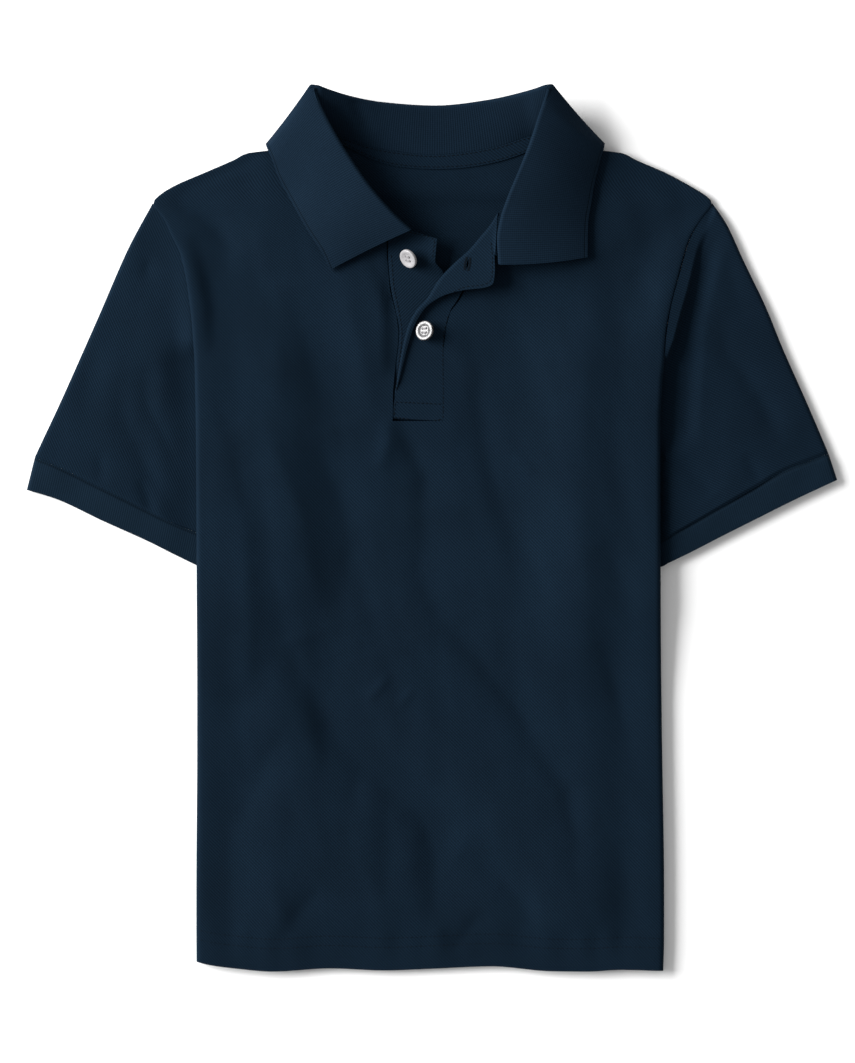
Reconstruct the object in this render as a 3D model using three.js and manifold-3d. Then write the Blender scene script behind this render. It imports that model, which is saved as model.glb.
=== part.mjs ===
// Child's short-sleeved polo shirt, laid flat on its back with its sides turned under.
// Millimetres, +Z up. +X is the viewer's right, +Y points to the collar, the surface is z = 0.
import * as THREE from 'three';
import { mergeVertices } from 'three/addons/utils/BufferGeometryUtils.js';
import Module from 'manifold-3d';

const wasm = await Module();
wasm.setup();

// A table's rows, each with its numbers under the names of the columns.
function named(columns, rows) {
  return rows.map((row) => Object.fromEntries(columns.map((name, n) => [name, row[n]])));
}

// Driving sizes
const pique = 1.1;
const rib = 1.7;
const cuffRib = 1.6;
const placketWall = 1.4;
const tapeWall = 1.0;
const layerGap = 0.35;
const turnGap = pique + layerGap;
const foldRound = 4;
const frontRise = 5.0;
const backRise = 1.1;
const collarFallLift = 3.0;
const buttonWidth = 11.6;
const buttonThick = 2.0;
const holeRadius = 0.75;
const holeSpread = 1.25;

// The body, row by row from hem to shoulder. left and right are its edges as it lies, turn is the
// width turned under, base the height of the sleeve below, mid the height of the folded edge,
// top the height just inside it, over the back's height on the turned part, backTop at its edge.
const body = named(['y', 'left', 'right', 'turn', 'base', 'leftMid', 'rightMid', 'top', 'over', 'backTop'], [
  [-258, -137.6, 135.2, 40, 0, 3.4, 3.4, 6.8, 3.9, 5.2],
  [-236, -137.7, 135.7, 40, 0, 3.6, 3.6, 7.2, 3.9, 5.6],
  [-214, -137.7, 135.7, 40, 0, 3.7, 3.7, 7.4, 3.9, 5.8],
  [-127, -137.2, 134.5, 40, 0, 3.8, 3.8, 7.6, 3.9, 6.0],
  [-104, -137.2, 134.2, 40, 0, 3.8, 3.8, 7.6, 3.9, 6.0],
  [-64, -137.2, 133.7, 40, 2.3, 6.0, 6.0, 9.7, 6.2, 8.2],
  [-36, -137.3, 133.5, 40, 4.3, 8.1, 8.1, 11.8, 8.2, 10.2],
  [28, -137.6, 133.3, 40, 4.3, 8.1, 8.1, 11.8, 8.2, 10.2],
  [64, -137.9, 133.4, 40, 4.3, 8.1, 8.1, 11.8, 8.2, 10.2],
  [80, -138.2, 134.3, 32, 4.3, 8.1, 8.1, 11.8, 8.2, 10.2],
  [89, -138.4, 134.8, 20, 4.3, 8.1, 8.1, 11.8, 8.2, 10.2],
  [97, -138.6, 135.7, 0, 4.3, 8.1, 8.4, 11.7, 8.1, 10.0],
  [113, -139.7, 136.3, 0, 0, 8.0, 10.0, 11.2, 6.6, 7.6],
  [130, -141.3, 139.2, 0, 0, 7.4, 9.2, 10.2, 4.6, 5.4],
  [147, -143.9, 143.6, 0, 0, 6.4, 7.8, 8.8, 2.8, 3.4],
  [160, -146.8, 147.2, 0, 0, 5.4, 6.6, 7.6, 1.8, 2.2],
  [171, -152.1, 151.0, 0, 0, 4.4, 5.3, 6.2, 1.3, 1.6],
  [182, -157.2, 157.9, 0, 0, 3.5, 4.0, 4.9, 1.2, 1.3],
  [191, -163.0, 163.8, 0, 0, 2.8, 2.8, 3.7, 1.1, 1.2],
  [195, -159.8, 160.2, 0, 0, 2.8, 2.8, 3.7, 1.1, 1.2],
  [200.4, -151.5, 151.5, 0, 0, 2.8, 2.8, 3.8, 1.1, 1.2],
  [208.6, -132.8, 136.3, 0, 0, 3.0, 3.0, 4.0, 1.2, 1.4],
  [216, -115.6, 119.0, 0, 0, 3.4, 3.4, 4.7, 1.8, 1.9],
  [220, -107.0, 110.6, 0, 0, 4.4, 4.4, 5.6, 2.9, 3.1],
  [221, -98.5, 102.5, 0, 0, 4.9, 4.9, 6.2, 3.9, 3.9],
  [222.5, -86.0, 90.0, 0, 0, 4.9, 4.9, 6.2, 3.9, 3.9],
  [225, -75.0, 79.0, 0, 0, 4.9, 4.9, 6.2, 3.9, 3.9],
]);

// The hem's edge, which waves a little.
const hem = [
  { x: -138, y: -252.4 }, { x: -129, y: -254.5 }, { x: -114, y: -256.5 }, { x: -93, y: -258.2 },
  { x: -60, y: -256.4 }, { x: -28, y: -257.6 }, { x: 2, y: -256.5 }, { x: 35, y: -255.2 },
  { x: 69, y: -258.0 }, { x: 91, y: -258.2 }, { x: 110, y: -257.2 }, { x: 136, y: -257.8 },
];

// The largest folds of the front, each along three points. high is a ridge, or below 0 a trough.
const folds = [
  { name: 'shoulder crease', x: [-156, -139, -116], y: [193, 184, 161], wide: 7, high: -1.2 },
  { name: 'armhole hollow', x: [-137, -134, -128], y: [169, 140, 106], wide: 8, high: -1.6 },
  { name: 'chest ridge', x: [-40, -33, -29], y: [150, 111, 64], wide: 17, high: 2.6 },
  { name: 'left chest hollow', x: [-101, -106, -99], y: [160, 122, 93], wide: 13, high: -1.4 },
  { name: 'rib fold', x: [-94, -70, -54], y: [70, 40, -18], wide: 12, high: -1.5 },
  { name: 'placket pull', x: [-19, -4, 2], y: [56, 32, 5], wide: 8, high: -1.4 },
  { name: 'waist fold', x: [-106, -98, -105], y: [-27, -60, -106], wide: 11, high: -1.4 },
  { name: 'belly fold', x: [-89, -66, -22], y: [-62, -114, -158], wide: 10, high: -1.8 },
  { name: 'hem fold', x: [-18, -2, -6], y: [-164, -190, -226], wide: 9, high: -2.0 },
  { name: 'long diagonal', x: [10, 43, 81], y: [-41, -106, -164], wide: 10, high: -1.5 },
  { name: 'right side fold', x: [92, 113, 128], y: [-59, -91, -129], wide: 10, high: -1.2 },
  { name: 'left edge fold', x: [-92, -112, -124], y: [-123, -158, -210], wide: 10, high: -1.3 },
];

// Neckline and placket slit of the front, and neckline of the back, from left to right.
const frontOpening = [
  { x: -76, y: 250 }, { x: -75, y: 228 }, { x: -72, y: 218 }, { x: -60, y: 203 }, { x: -44, y: 190 },
  { x: -26.6, y: 180 }, { x: -26.3, y: 160.2 }, { x: -24.6, y: 140 }, { x: -21.3, y: 124.6 },
  { x: -20.1, y: 115.8 }, { x: -20.5, y: 107.3 }, { x: -21.7, y: 98 }, { x: -23.4, y: 81 },
  { x: -23.6, y: 63 }, { x: 7.0, y: 62.2 }, { x: 7.3, y: 105 }, { x: 9.0, y: 118 }, { x: 11.4, y: 126.6 },
  { x: 16, y: 134 }, { x: 21.4, y: 143.4 }, { x: 26.2, y: 151.2 }, { x: 31.4, y: 159 }, { x: 39, y: 167 },
  { x: 48, y: 179 }, { x: 58, y: 190 }, { x: 69, y: 203 }, { x: 77, y: 216 }, { x: 79, y: 228 },
  { x: 80, y: 250 },
];
const backNeck = [
  { x: -71, y: 229.5 }, { x: -52.1, y: 227.9 }, { x: -42.7, y: 224.1 }, { x: -31.6, y: 221.5 },
  { x: -16.4, y: 219.2 }, { x: -5.3, y: 218.0 }, { x: 9.4, y: 217.8 }, { x: 21.1, y: 219.2 },
  { x: 35.7, y: 222.1 }, { x: 46.8, y: 225.0 }, { x: 56.7, y: 228.5 }, { x: 73, y: 229.5 },
];

// Sleeves. Each line runs from the overarm edge to the underarm. fly is the strip of cloth
// that stands out past the seam before it drops.
const sleeves = {
  left: {
    side: -1,
    armhole: [[-163.6, 190.6], [-157.4, 182.4], [-152.4, 171.1], [-147.1, 160.6], [-144.2, 147.1],
      [-141.9, 133.7], [-140.1, 115], [-139.2, 97], [-131, 82], [-116, 73], [-99.4, 69.9]],
    cuffSeam: [[-232.2, 43.4], [-218.8, 37.9], [-196.3, 26.8], [-182.5, 20.1], [-153.3, 5.6],
      [-139.8, 0.1], [-117.6, -8.6]],
    overarm: [[-163.6, 190.6], [-177.3, 164.7], [-196, 122], [-218.2, 72.2], [-227, 53.5], [-232.2, 43.4]],
    cuffTop: [[-232.6, 41.6], [-218.9, 36.4], [-196.5, 25.3], [-182.7, 18.6], [-153.5, 4.1],
      [-139.8, -1.6], [-117.9, -10.2]],
    cuffEdge: [[-236.9, 23.1], [-218.2, 17.3], [-193.6, 5.6], [-165, -7.3], [-153.3, -13.2],
      [-137.8, -20.8], [-121.7, -27.8]],
    fly: 0,
  },
  right: {
    side: 1,
    armhole: [[164.4, 190.6], [158.5, 182.4], [151.7, 171.2], [145.4, 151], [139.9, 130.4],
      [137, 112.8], [136.3, 97.2], [128, 82], [113, 72], [96.5, 67]],
    cuffSeam: [[231.9, 45.4], [204.8, 34.8], [187.8, 24.9], [168.5, 13.8], [150.9, 3.8],
      [134, -5.1], [117.8, -11.3]],
    overarm: [[164.4, 190.6], [172, 178.9], [182.5, 156.5], [195.4, 129.6], [204.8, 106.5],
      [220, 72.2], [231.9, 45.4]],
    cuffTop: [[232.2, 43.7], [204.9, 33.2], [188, 23.3], [168.6, 12.2], [151, 2.2], [134.2, -6.7],
      [118.2, -12.8]],
    cuffEdge: [[236.9, 29], [211.8, 17.3], [188.4, 5.6], [168.5, -4.4], [150.9, -13.5],
      [133.4, -21.9], [124, -26.6]],
    fly: 8.5,
  },
};
const sleeveRise = 4.6;
const cuffRise = 5.0;
const tuckedRise = 2.6;
const tuckedCuffRise = 3.7;

// The collar, station by station from the left front end round the back to the right front end.
// neck is the seam, fold the turned edge, middle and edge lie on the fall. Heights are the
// stand's inner and the fall's outer face.
const collar = named(['neck', 'bulge', 'fold', 'middle', 'edge'], [
  [[-13, 176.4, 9.6], [-22, 171.5, 9.5], [-12, 174.8, 15.5], [-34, 164.8, 12.6], [-57.3, 153, 10.2]],
  [[-27, 182.5, 9], [-28, 180, 10.5], [-19.9, 181.6, 17.5], [-41, 172.5, 14.6], [-63, 161.8, 10.4]],
  [[-44, 191.5, 8.2], [-42, 192, 12], [-33.3, 196.3, 20], [-52, 187, 16.6], [-72, 175.6, 9.6]],
  [[-60, 204.5, 8.2], [-56, 207, 14], [-46.8, 215, 23], [-65, 204.5, 17.6], [-81.5, 192.5, 8.6]],
  [[-69, 216, 8.2], [-65, 221, 16], [-57.6, 232.5, 25.5], [-74, 220.5, 18.5], [-89, 206, 8.4]],
  [[-72, 224, 8.2], [-69, 232, 18], [-64.9, 246.6, 27], [-80, 232.5, 19.5], [-93.4, 216, 8.6]],
  [[-71, 226.5, 8], [-69.5, 235.5, 18.6], [-67.2, 252.5, 27.3], [-82.6, 236.6, 19], [-95.9, 221.7, 8.8]],
  [[-70, 228.5, 7.8], [-69.5, 238, 19], [-69, 258, 27.5], [-84.5, 240, 15], [-97.2, 225.2, 4.2]],
  [[-67, 229.8, 7.4], [-66.5, 239, 18.5], [-66, 257.6, 26.5], [-82, 239.5, 6], [-96.2, 224.2, 0.3]],
  [[-62, 230.8, 7], [-61, 240, 17], [-60.5, 255.8, 23.5], [-75, 238.5, 0.8], [-90, 214, 0.1]],
  [[-52.1, 229.2, 6], [-51, 238, 11], [-48.5, 252.4, 18], [-60, 233, 0.9], [-73, 207, 0.1]],
  [[-31.6, 222.8, 5], [-30.5, 235, 8.4], [-29, 249, 12.5], [-36, 230, 0.4], [-42, 204.6, 0.1]],
  [[1.8, 219.1, 4.8], [2, 233, 7.2], [2, 247.2, 10], [2, 228, 0.2], [2, 203.3, 0.1]],
  [[35.7, 223.4, 5], [34, 235.5, 8.4], [32, 250.2, 12.5], [40, 231, 0.4], [46, 204.6, 0.1]],
  [[56, 229.7, 6], [55, 238, 11], [50, 253.6, 18], [63, 233.5, 0.9], [77, 207, 0.1]],
  [[64, 231, 7], [62.5, 240, 17], [60, 256, 23.5], [77, 239, 0.8], [93.5, 215, 0.1]],
  [[70, 230, 7.4], [68, 239, 18.5], [65.5, 257.7, 26.5], [84, 240, 6], [99.6, 224.8, 0.3]],
  [[74, 229.5, 7.8], [71.5, 239, 19], [68.3, 258, 27.5], [86, 240.5, 15], [101, 225.6, 4.2]],
  [[75, 227, 8.2], [71.3, 235, 18.6], [65.6, 250, 27.3], [84.3, 236.3, 19], [100.3, 222.2, 9]],
  [[76, 224, 8.4], [71, 230, 18], [62.6, 241.9, 27], [82, 231.5, 19.5], [98.9, 218, 9.2]],
  [[72, 214, 8.6], [67, 219, 16], [56.5, 223.8, 25], [77, 217.5, 18.5], [96.8, 210, 9.4]],
  [[64, 202, 8.8], [60, 206, 14], [50.9, 209.7, 22.5], [73, 205, 17], [94.6, 201, 9.4]],
  [[54, 191, 8.8], [52, 194, 12], [43.9, 192.8, 20], [68, 191, 15.5], [92.8, 190, 9.4]],
  [[46, 180, 8.8], [48, 182, 11.5], [39.8, 180.5, 18], [66, 180, 14.5], [91.2, 180, 9.6]],
  [[41.6, 171, 8.8], [47, 170, 11.2], [37.9, 168.5, 16.5], [64.5, 168.5, 13.6], [90.8, 169.5, 9.8]],
  [[41.2, 157.5, 8.8], [48, 157, 11], [38.6, 154.7, 15.5], [64, 155, 13], [90.7, 158.8, 10]],
]);
const collarRound = 2.4;

// Tape over the back neck seam: its lower edge, the upper one follows the neckline.
const tapeEdge = [
  { x: -56, y: 224.8 }, { x: -48, y: 221.9 }, { x: -40, y: 218.6 }, { x: -31.6, y: 215.0 },
  { x: -20.5, y: 212.1 }, { x: -9.1, y: 210.9 }, { x: 2.3, y: 210.5 }, { x: 13.5, y: 210.9 },
  { x: 24.6, y: 212.1 }, { x: 35.7, y: 214.2 }, { x: 46.8, y: 217.3 }, { x: 53.8, y: 219.9 },
  { x: 60, y: 222.6 },
];

// Under placket, row by row from its top edge down to the stitched box.
const placketUnder = [
  { left: [-25.7, 178.6], right: [2.9, 169.5], rise: 7.4 },
  { left: [-25.7, 169], right: [2.4, 163.5], rise: 6.8 },
  { left: [-25.6, 160.2], right: [1.8, 156.5], rise: 6.2 },
  { left: [-25.0, 150], right: [6.6, 149.5], rise: 5.6 },
  { left: [-23.8, 140], right: [6.2, 139], rise: 5.2 },
  { left: [-20.6, 124.6], right: [5.9, 124], rise: 5.0 },
  { left: [-19.4, 115.8], right: [5.9, 115], rise: 5.0 },
  { left: [-19.8, 107.3], right: [5.9, 107], rise: 5.0 },
  { left: [-21.0, 98], right: [5.8, 98], rise: 5.0 },
  { left: [-22.6, 81], right: [5.7, 81], rise: 5.0 },
  { left: [-22.8, 64], right: [5.6, 63.4], rise: 5.0 },
];

// Upper placket, row by row from the box up: seam, turned edge, and free edge where it is
// folded back on itself; round is the fold's radius.
const placketUpper = [
  { seam: [6.3, 63.4], turn: [-22.9, 64.9], free: null, rise: 5.35, round: 2.2 },
  { seam: [6.3, 73.5], turn: [-22.1, 74.5], free: null, rise: 5.35, round: 2.2 },
  { seam: [6.6, 88], turn: [-20.5, 88], free: null, rise: 5.35, round: 2.2 },
  { seam: [6.6, 105], turn: [-17.5, 105], free: null, rise: 5.35, round: 2.2 },
  { seam: [8.2, 118], turn: [-14.2, 118], free: [-10.2, 118.6], rise: 5.35, round: 2.1 },
  { seam: [10.4, 127], turn: [-9.8, 127], free: [-3.0, 130], rise: 5.45, round: 2.2 },
  { seam: [15.0, 134.4], turn: [-3.2, 134.3], free: [8.5, 137.0], rise: 5.8, round: 2.4 },
  { seam: [20.2, 144], turn: [4.5, 146.5], free: [19.5, 139.6], rise: 6.4, round: 2.6 },
  { seam: [25.2, 152.2], turn: [13.0, 155.3], free: [30.5, 140.8], rise: 7.0, round: 2.7 },
  { seam: [30.0, 160], turn: [22.0, 163.4], free: [35.6, 143.4], rise: 7.6, round: 2.7 },
  { seam: [33, 166.5], turn: [28.6, 171.3], free: [36.6, 152], rise: 8.2, round: 2.6 },
  { seam: [34.4, 171.5], turn: [33.4, 176.8], free: [36.3, 161], rise: 8.6, round: 2.5 },
  { seam: [37.2, 175.5], turn: [38.4, 184.6], free: [36.7, 159.5], rise: 9.0, round: 2.4 },
];

// Buttons: centre of the face, and the way and angle that the face leans.
const buttons = {
  top: { at: [-14.4, 158.0, 11.5], lean: [-0.8, -0.6], tilt: 50 },
  lower: { at: [-4.8, 116.5, 10.9], lean: [-0.95, 0.2], tilt: 26 },
};

// Colours
const navy = new THREE.MeshStandardMaterial({ color: 0x16263a, roughness: 0.95, metalness: 0 });
const navyRib = new THREE.MeshStandardMaterial({ color: 0x19293d, roughness: 0.95, metalness: 0 });
const pearl = new THREE.MeshStandardMaterial({ color: 0xd9d7d5, roughness: 0.35, metalness: 0 });

// Small helpers

function smooth(from, to, value) {
  const t = Math.min(1, Math.max(0, (value - from) / (to - from)));
  return t * t * (3 - 2 * t);
}

function mix(a, b, t) {
  return a + (b - a) * t;
}

// The row of a table at a place along its key, with every number between two rows mixed.
function rowAt(table, key, value) {
  const last = table.length - 1;
  const up = table[last][key] > table[0][key];
  let i = 0;
  while (i < last - 1 && (up ? value > table[i + 1][key] : value < table[i + 1][key])) i += 1;
  const a = table[i];
  const b = table[i + 1];
  const t = Math.min(1, Math.max(0, (value - a[key]) / (b[key] - a[key])));
  const row = {};
  for (const name of Object.keys(a)) {
    row[name] = mix(a[name], b[name], t);
  }
  return row;
}

function segmentDistance(x, y, ax, ay, bx, by) {
  const dx = bx - ax;
  const dy = by - ay;
  const t = Math.min(1, Math.max(0, ((x - ax) * dx + (y - ay) * dy) / (dx * dx + dy * dy)));
  return Math.hypot(x - ax - dx * t, y - ay - dy * t);
}

function foldHeight(x, y) {
  let high = 0;
  for (const fold of folds) {
    const first = segmentDistance(x, y, fold.x[0], fold.y[0], fold.x[1], fold.y[1]);
    const second = segmentDistance(x, y, fold.x[1], fold.y[1], fold.x[2], fold.y[2]);
    const far = Math.min(first, second) / fold.wide;
    high += fold.high * Math.exp(-far * far);
  }
  return high;
}

// Heights of the body's two layers, inside their folded edges.

function backHeight(x, y) {
  const row = rowAt(body, 'y', y);
  const inside = Math.min(x - row.left, row.right - x);
  const fall = collarFallLift * smooth(188, 198, y) * (1 - smooth(98, 112, Math.abs(x)));
  const flat = backRise + fall;
  const over = Math.max(row.over, flat);
  return flat + (over - flat) * (1 - smooth(42, 60, inside))
    + Math.max(0, row.backTop - over) * (1 - smooth(foldRound, 28, inside));
}

function frontHeight(x, y) {
  const row = rowAt(body, 'y', y);
  const inside = Math.min(x - row.left, row.right - x);
  const over = Math.max(row.over + turnGap + 0.7, frontRise);
  const slack = smooth(0, 14, inside) * smooth(-258, -240, y);
  const lifted = frontRise + (over - frontRise) * (1 - smooth(42, 88, inside))
    + (row.top - over) * (1 - smooth(foldRound, 28, inside)) + slack * foldHeight(x, y);
  return Math.max(lifted, backHeight(x, y) + turnGap + 0.15 * slack);
}

// Walls from a grid of points

function gridNormal(grid, i, k, ring) {
  const rows = grid.length;
  const cols = grid[0].length;
  const here = grid[i][k];
  const step = (di, dk) => {
    let a = i;
    let b = k;
    for (let n = 0; n < cols; n += 1) {
      a += di;
      b += dk;
      if (ring) b = (b + cols) % cols;
      if (a < 0 || a >= rows || b < 0 || b >= cols) return here;
      if (grid[a][b].distanceTo(here) > 0.05) return grid[a][b];
    }
    return here;
  };
  const along = step(1, 0).clone().sub(step(-1, 0));
  const across = step(0, 1).clone().sub(step(0, -1));
  return across.cross(along).normalize();
}

// A closed solid: the grid is one face, the other lies a wall's thickness behind it.
// The last row is closed off, as are the side edges of a grid that isn't a ring.
function wallFromGrid(grid, thick, options = {}) {
  const { ring = false, flip = 1 } = options;
  const rows = grid.length;
  const cols = grid[0].length;
  const points = [];
  const inner = grid.map((row, i) => row.map((point, k) => {
    const normal = gridNormal(grid, i, k, ring);
    const behind = point.clone().addScaledVector(normal, -thick * flip);
    behind.z = Math.max(0, behind.z);
    return behind;
  }));
  for (let i = 0; i < rows; i += 1) {
    for (let k = 1; k < cols; k += 1) {
      if (grid[i][k].distanceTo(grid[i][k - 1]) < 0.01) inner[i][k].copy(inner[i][k - 1]);
    }
  }
  for (const layer of [grid, inner]) {
    for (const row of layer) {
      for (const point of row) points.push(point.x, point.y, point.z);
    }
  }
  const faces = [];
  const outerAt = (i, k) => i * cols + (k % cols);
  const innerAt = (i, k) => rows * cols + i * cols + (k % cols);
  const quad = (a, b, c, d) => faces.push(a, b, c, a, c, d);
  const spans = ring ? cols : cols - 1;
  for (let i = 0; i < rows - 1; i += 1) {
    for (let k = 0; k < spans; k += 1) {
      quad(outerAt(i, k), outerAt(i, k + 1), outerAt(i + 1, k + 1), outerAt(i + 1, k));
      quad(innerAt(i, k), innerAt(i + 1, k), innerAt(i + 1, k + 1), innerAt(i, k + 1));
    }
    if (!ring) {
      quad(outerAt(i, 0), outerAt(i + 1, 0), innerAt(i + 1, 0), innerAt(i, 0));
      quad(outerAt(i, cols - 1), innerAt(i, cols - 1), innerAt(i + 1, cols - 1), outerAt(i + 1, cols - 1));
    }
  }
  for (let k = 0; k < spans; k += 1) {
    quad(outerAt(0, k), innerAt(0, k), innerAt(0, k + 1), outerAt(0, k + 1));
    quad(outerAt(rows - 1, k), outerAt(rows - 1, k + 1), innerAt(rows - 1, k + 1), innerAt(rows - 1, k));
  }
  return closedGeometry(points, faces);
}

// Merges equal points, drops faces without area and turns the faces outward.
function closedGeometry(points, faces) {
  let geometry = new THREE.BufferGeometry();
  geometry.setAttribute('position', new THREE.Float32BufferAttribute(points, 3));
  geometry.setIndex(faces);
  geometry = mergeVertices(geometry, 0.004);
  const index = geometry.index.array;
  const kept = [];
  for (let f = 0; f < index.length; f += 3) {
    const [a, b, c] = [index[f], index[f + 1], index[f + 2]];
    if (a !== b && b !== c && c !== a) kept.push(a, b, c);
  }
  const place = geometry.attributes.position;
  const corner = [new THREE.Vector3(), new THREE.Vector3(), new THREE.Vector3()];
  let volume = 0;
  for (let f = 0; f < kept.length; f += 3) {
    corner.forEach((v, n) => v.fromBufferAttribute(place, kept[f + n]));
    volume += corner[0].dot(corner[1].clone().cross(corner[2]));
  }
  if (volume < 0) kept.reverse();
  geometry.setIndex(kept);
  return geometry;
}

function toManifold(geometry) {
  let bare = geometry.clone();
  bare.deleteAttribute('normal');
  bare.deleteAttribute('uv');
  bare = mergeVertices(bare, 0.001);
  return new wasm.Manifold(new wasm.Mesh({
    numProp: 3,
    vertProperties: new Float32Array(bare.attributes.position.array),
    triVerts: new Uint32Array(bare.index.array),
  }));
}

function fromManifold(solid) {
  const mesh = solid.getMesh();
  const geometry = new THREE.BufferGeometry();
  geometry.setAttribute('position', new THREE.Float32BufferAttribute(mesh.vertProperties, 3));
  geometry.setIndex(Array.from(mesh.triVerts));
  return geometry;
}

// Takes an outline, given as table rows with x and y, out of a wall through all its height.
function cutThrough(geometry, outline) {
  const shape = new THREE.Shape(outline.map((p) => new THREE.Vector2(p.x, p.y)));
  const prism = new THREE.ExtrudeGeometry(shape, { depth: 80, bevelEnabled: false });
  prism.translate(0, 0, -20);
  return fromManifold(toManifold(geometry).subtract(toManifold(prism)));
}

// The body's two panels

const rowStops = [-258, -236, -214, -192, -170, -148, -127, -104, -84, -64, -36, -14, 7, 28, 46, 64,
  80, 89, 97, 113, 130, 147, 160, 171, 182, 191, 195, 200.4, 208.6, 216, 220, 221, 222.5, 225];
const halfBody = 136;
const frontStops = [16, 29, 42, 55, 69, 84, 100, 118];
const backStops = [28, 42, 60, 98];
const cornerAngles = [0, 30, 60, 90];

function hemShift(x, y) {
  const edge = rowAt(hem, 'x', x).y;
  return (edge + 258) * (1 - smooth(-258, -205, y));
}

// One row of a panel: turned under part, rounded edge, top, rounded edge, turned under part.
// inset moves the whole row inside the folded edge, for the panel that lies within.
function panelRow(y, stops, inset, topHeight) {
  const row = rowAt(body, 'y', y);
  const turned = row.turn > 0.5;
  const points = [];
  const add = (x, z) => points.push(new THREE.Vector3(x, y + hemShift(x, y), z));
  const half = (row.right - row.left) / 2;
  const edgeHalf = (side) => {
    const edge = side < 0 ? row.left : row.right;
    const inward = -side;
    const mid = side < 0 ? row.leftMid : row.rightMid;
    const round = foldRound - inset;
    const centre = edge + inward * foldRound;
    const crown = topHeight(centre, y);
    const edgeMid = turned || inset === 0 ? mid : Math.min(mid, crown - 0.4);
    const list = [];
    const seam = edge + inward * (row.turn + 1.5);
    const low = row.base + inset;
    for (const part of [0, 0.5]) {
      list.push(turned ? [mix(seam, centre, part), low] : null);
    }
    list.push(turned ? [centre, low] : null);
    list.push(turned ? [centre - inward * round * 0.71, mix(edgeMid, low, 0.71)] : null);
    for (const angle of cornerAngles) {
      const a = THREE.MathUtils.degToRad(angle);
      list.push([centre - inward * round * Math.cos(a), mix(edgeMid, crown, Math.sin(a))]);
    }
    const first = list.find((p) => p !== null);
    return list.map((p) => p ?? first);
  };
  const left = edgeHalf(-1);
  const right = edgeHalf(1).reverse();
  left.forEach(([x, z]) => add(x, z));
  const middle = [...stops, halfBody, ...[...stops].reverse()];
  middle.forEach((stop, n) => {
    const share = stop / halfBody;
    const x = n <= stops.length ? row.left + half * share : row.right - half * share;
    add(x, topHeight(x, y));
  });
  right.forEach(([x, z]) => add(x, z));
  return points;
}

function frontPanel() {
  const grid = rowStops.map((y) => panelRow(y, frontStops, 0, frontHeight));
  return cutThrough(wallFromGrid(grid, pique), frontOpening);
}

function backPanel() {
  const grid = rowStops.map((y) => panelRow(y, backStops, turnGap, backHeight));
  const open = [...backNeck, { x: 73, y: 260 }, { x: -71, y: 260 }];
  return cutThrough(wallFromGrid(grid, pique), open);
}

// Sleeves and cuffs: flattened tubes whose plan is stretched between their four edges.

function lineOf(list) {
  return new THREE.CatmullRomCurve3(list.map(([x, y]) => new THREE.Vector3(x, y, 0)), false, 'centripetal');
}

function patchPoint(edges, s, t) {
  const { start, end, outer, under } = edges;
  const point = start.getPointAt(t).multiplyScalar(1 - s).add(end.getPointAt(t).multiplyScalar(s));
  const corners = [[start.getPointAt(0), (1 - s) * (1 - t)], [start.getPointAt(1), (1 - s) * t],
    [end.getPointAt(0), s * (1 - t)], [end.getPointAt(1), s * t]];
  point.addScaledVector(outer.getPointAt(s), 1 - t).addScaledVector(under.getPointAt(s), t);
  corners.forEach(([corner, weight]) => point.addScaledVector(corner, -weight));
  return point;
}

const tubeFront = [0.06, 0.14, 0.24, 0.35, 0.46, 0.57, 0.68, 0.79, 0.9];
const tubeBack = [0.75, 0.5, 0.25];
const tubeAngles = [0, 45, 90];

// A ring of points across a flattened tube: front layer, underarm edge, back layer, overarm edge.
function tubeRow(edges, s, round, height) {
  const width = patchPoint(edges, s, 0).distanceTo(patchPoint(edges, s, 1));
  const corner = tubeAngles.map((angle) => {
    const a = THREE.MathUtils.degToRad(angle);
    return [round * (1 - Math.cos(a)) / width, Math.sin(a)];
  });
  const list = [];
  corner.forEach(([t, lift]) => list.push([t, lift, 1]));
  tubeFront.forEach((t) => list.push([t, 1, 1]));
  [...corner].reverse().forEach(([t, lift]) => list.push([1 - t, lift, 1]));
  corner.slice(1).forEach(([t, lift]) => list.push([1 - t, lift, -1]));
  tubeBack.forEach((t) => list.push([t, 1, -1]));
  [...corner].reverse().slice(0, -1).forEach(([t, lift]) => list.push([t, lift, -1]));
  return list.map(([t, lift, face]) => {
    const point = patchPoint(edges, s, t);
    const top = height(point, s, t);
    const middle = Math.min(top / 2, 2.6);
    point.z = face > 0 ? mix(middle, top, lift) : mix(middle, 0, lift);
    return point;
  });
}

// Holds a tube low where the body lies on it.
function tucked(point, side, free, low) {
  const row = rowAt(body, 'y', point.y);
  const edge = side < 0 ? point.x - row.left : row.right - point.x;
  const under = smooth(-15, -3, edge) * (1 - smooth(97, 112, point.y));
  return mix(free, low, under);
}

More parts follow.
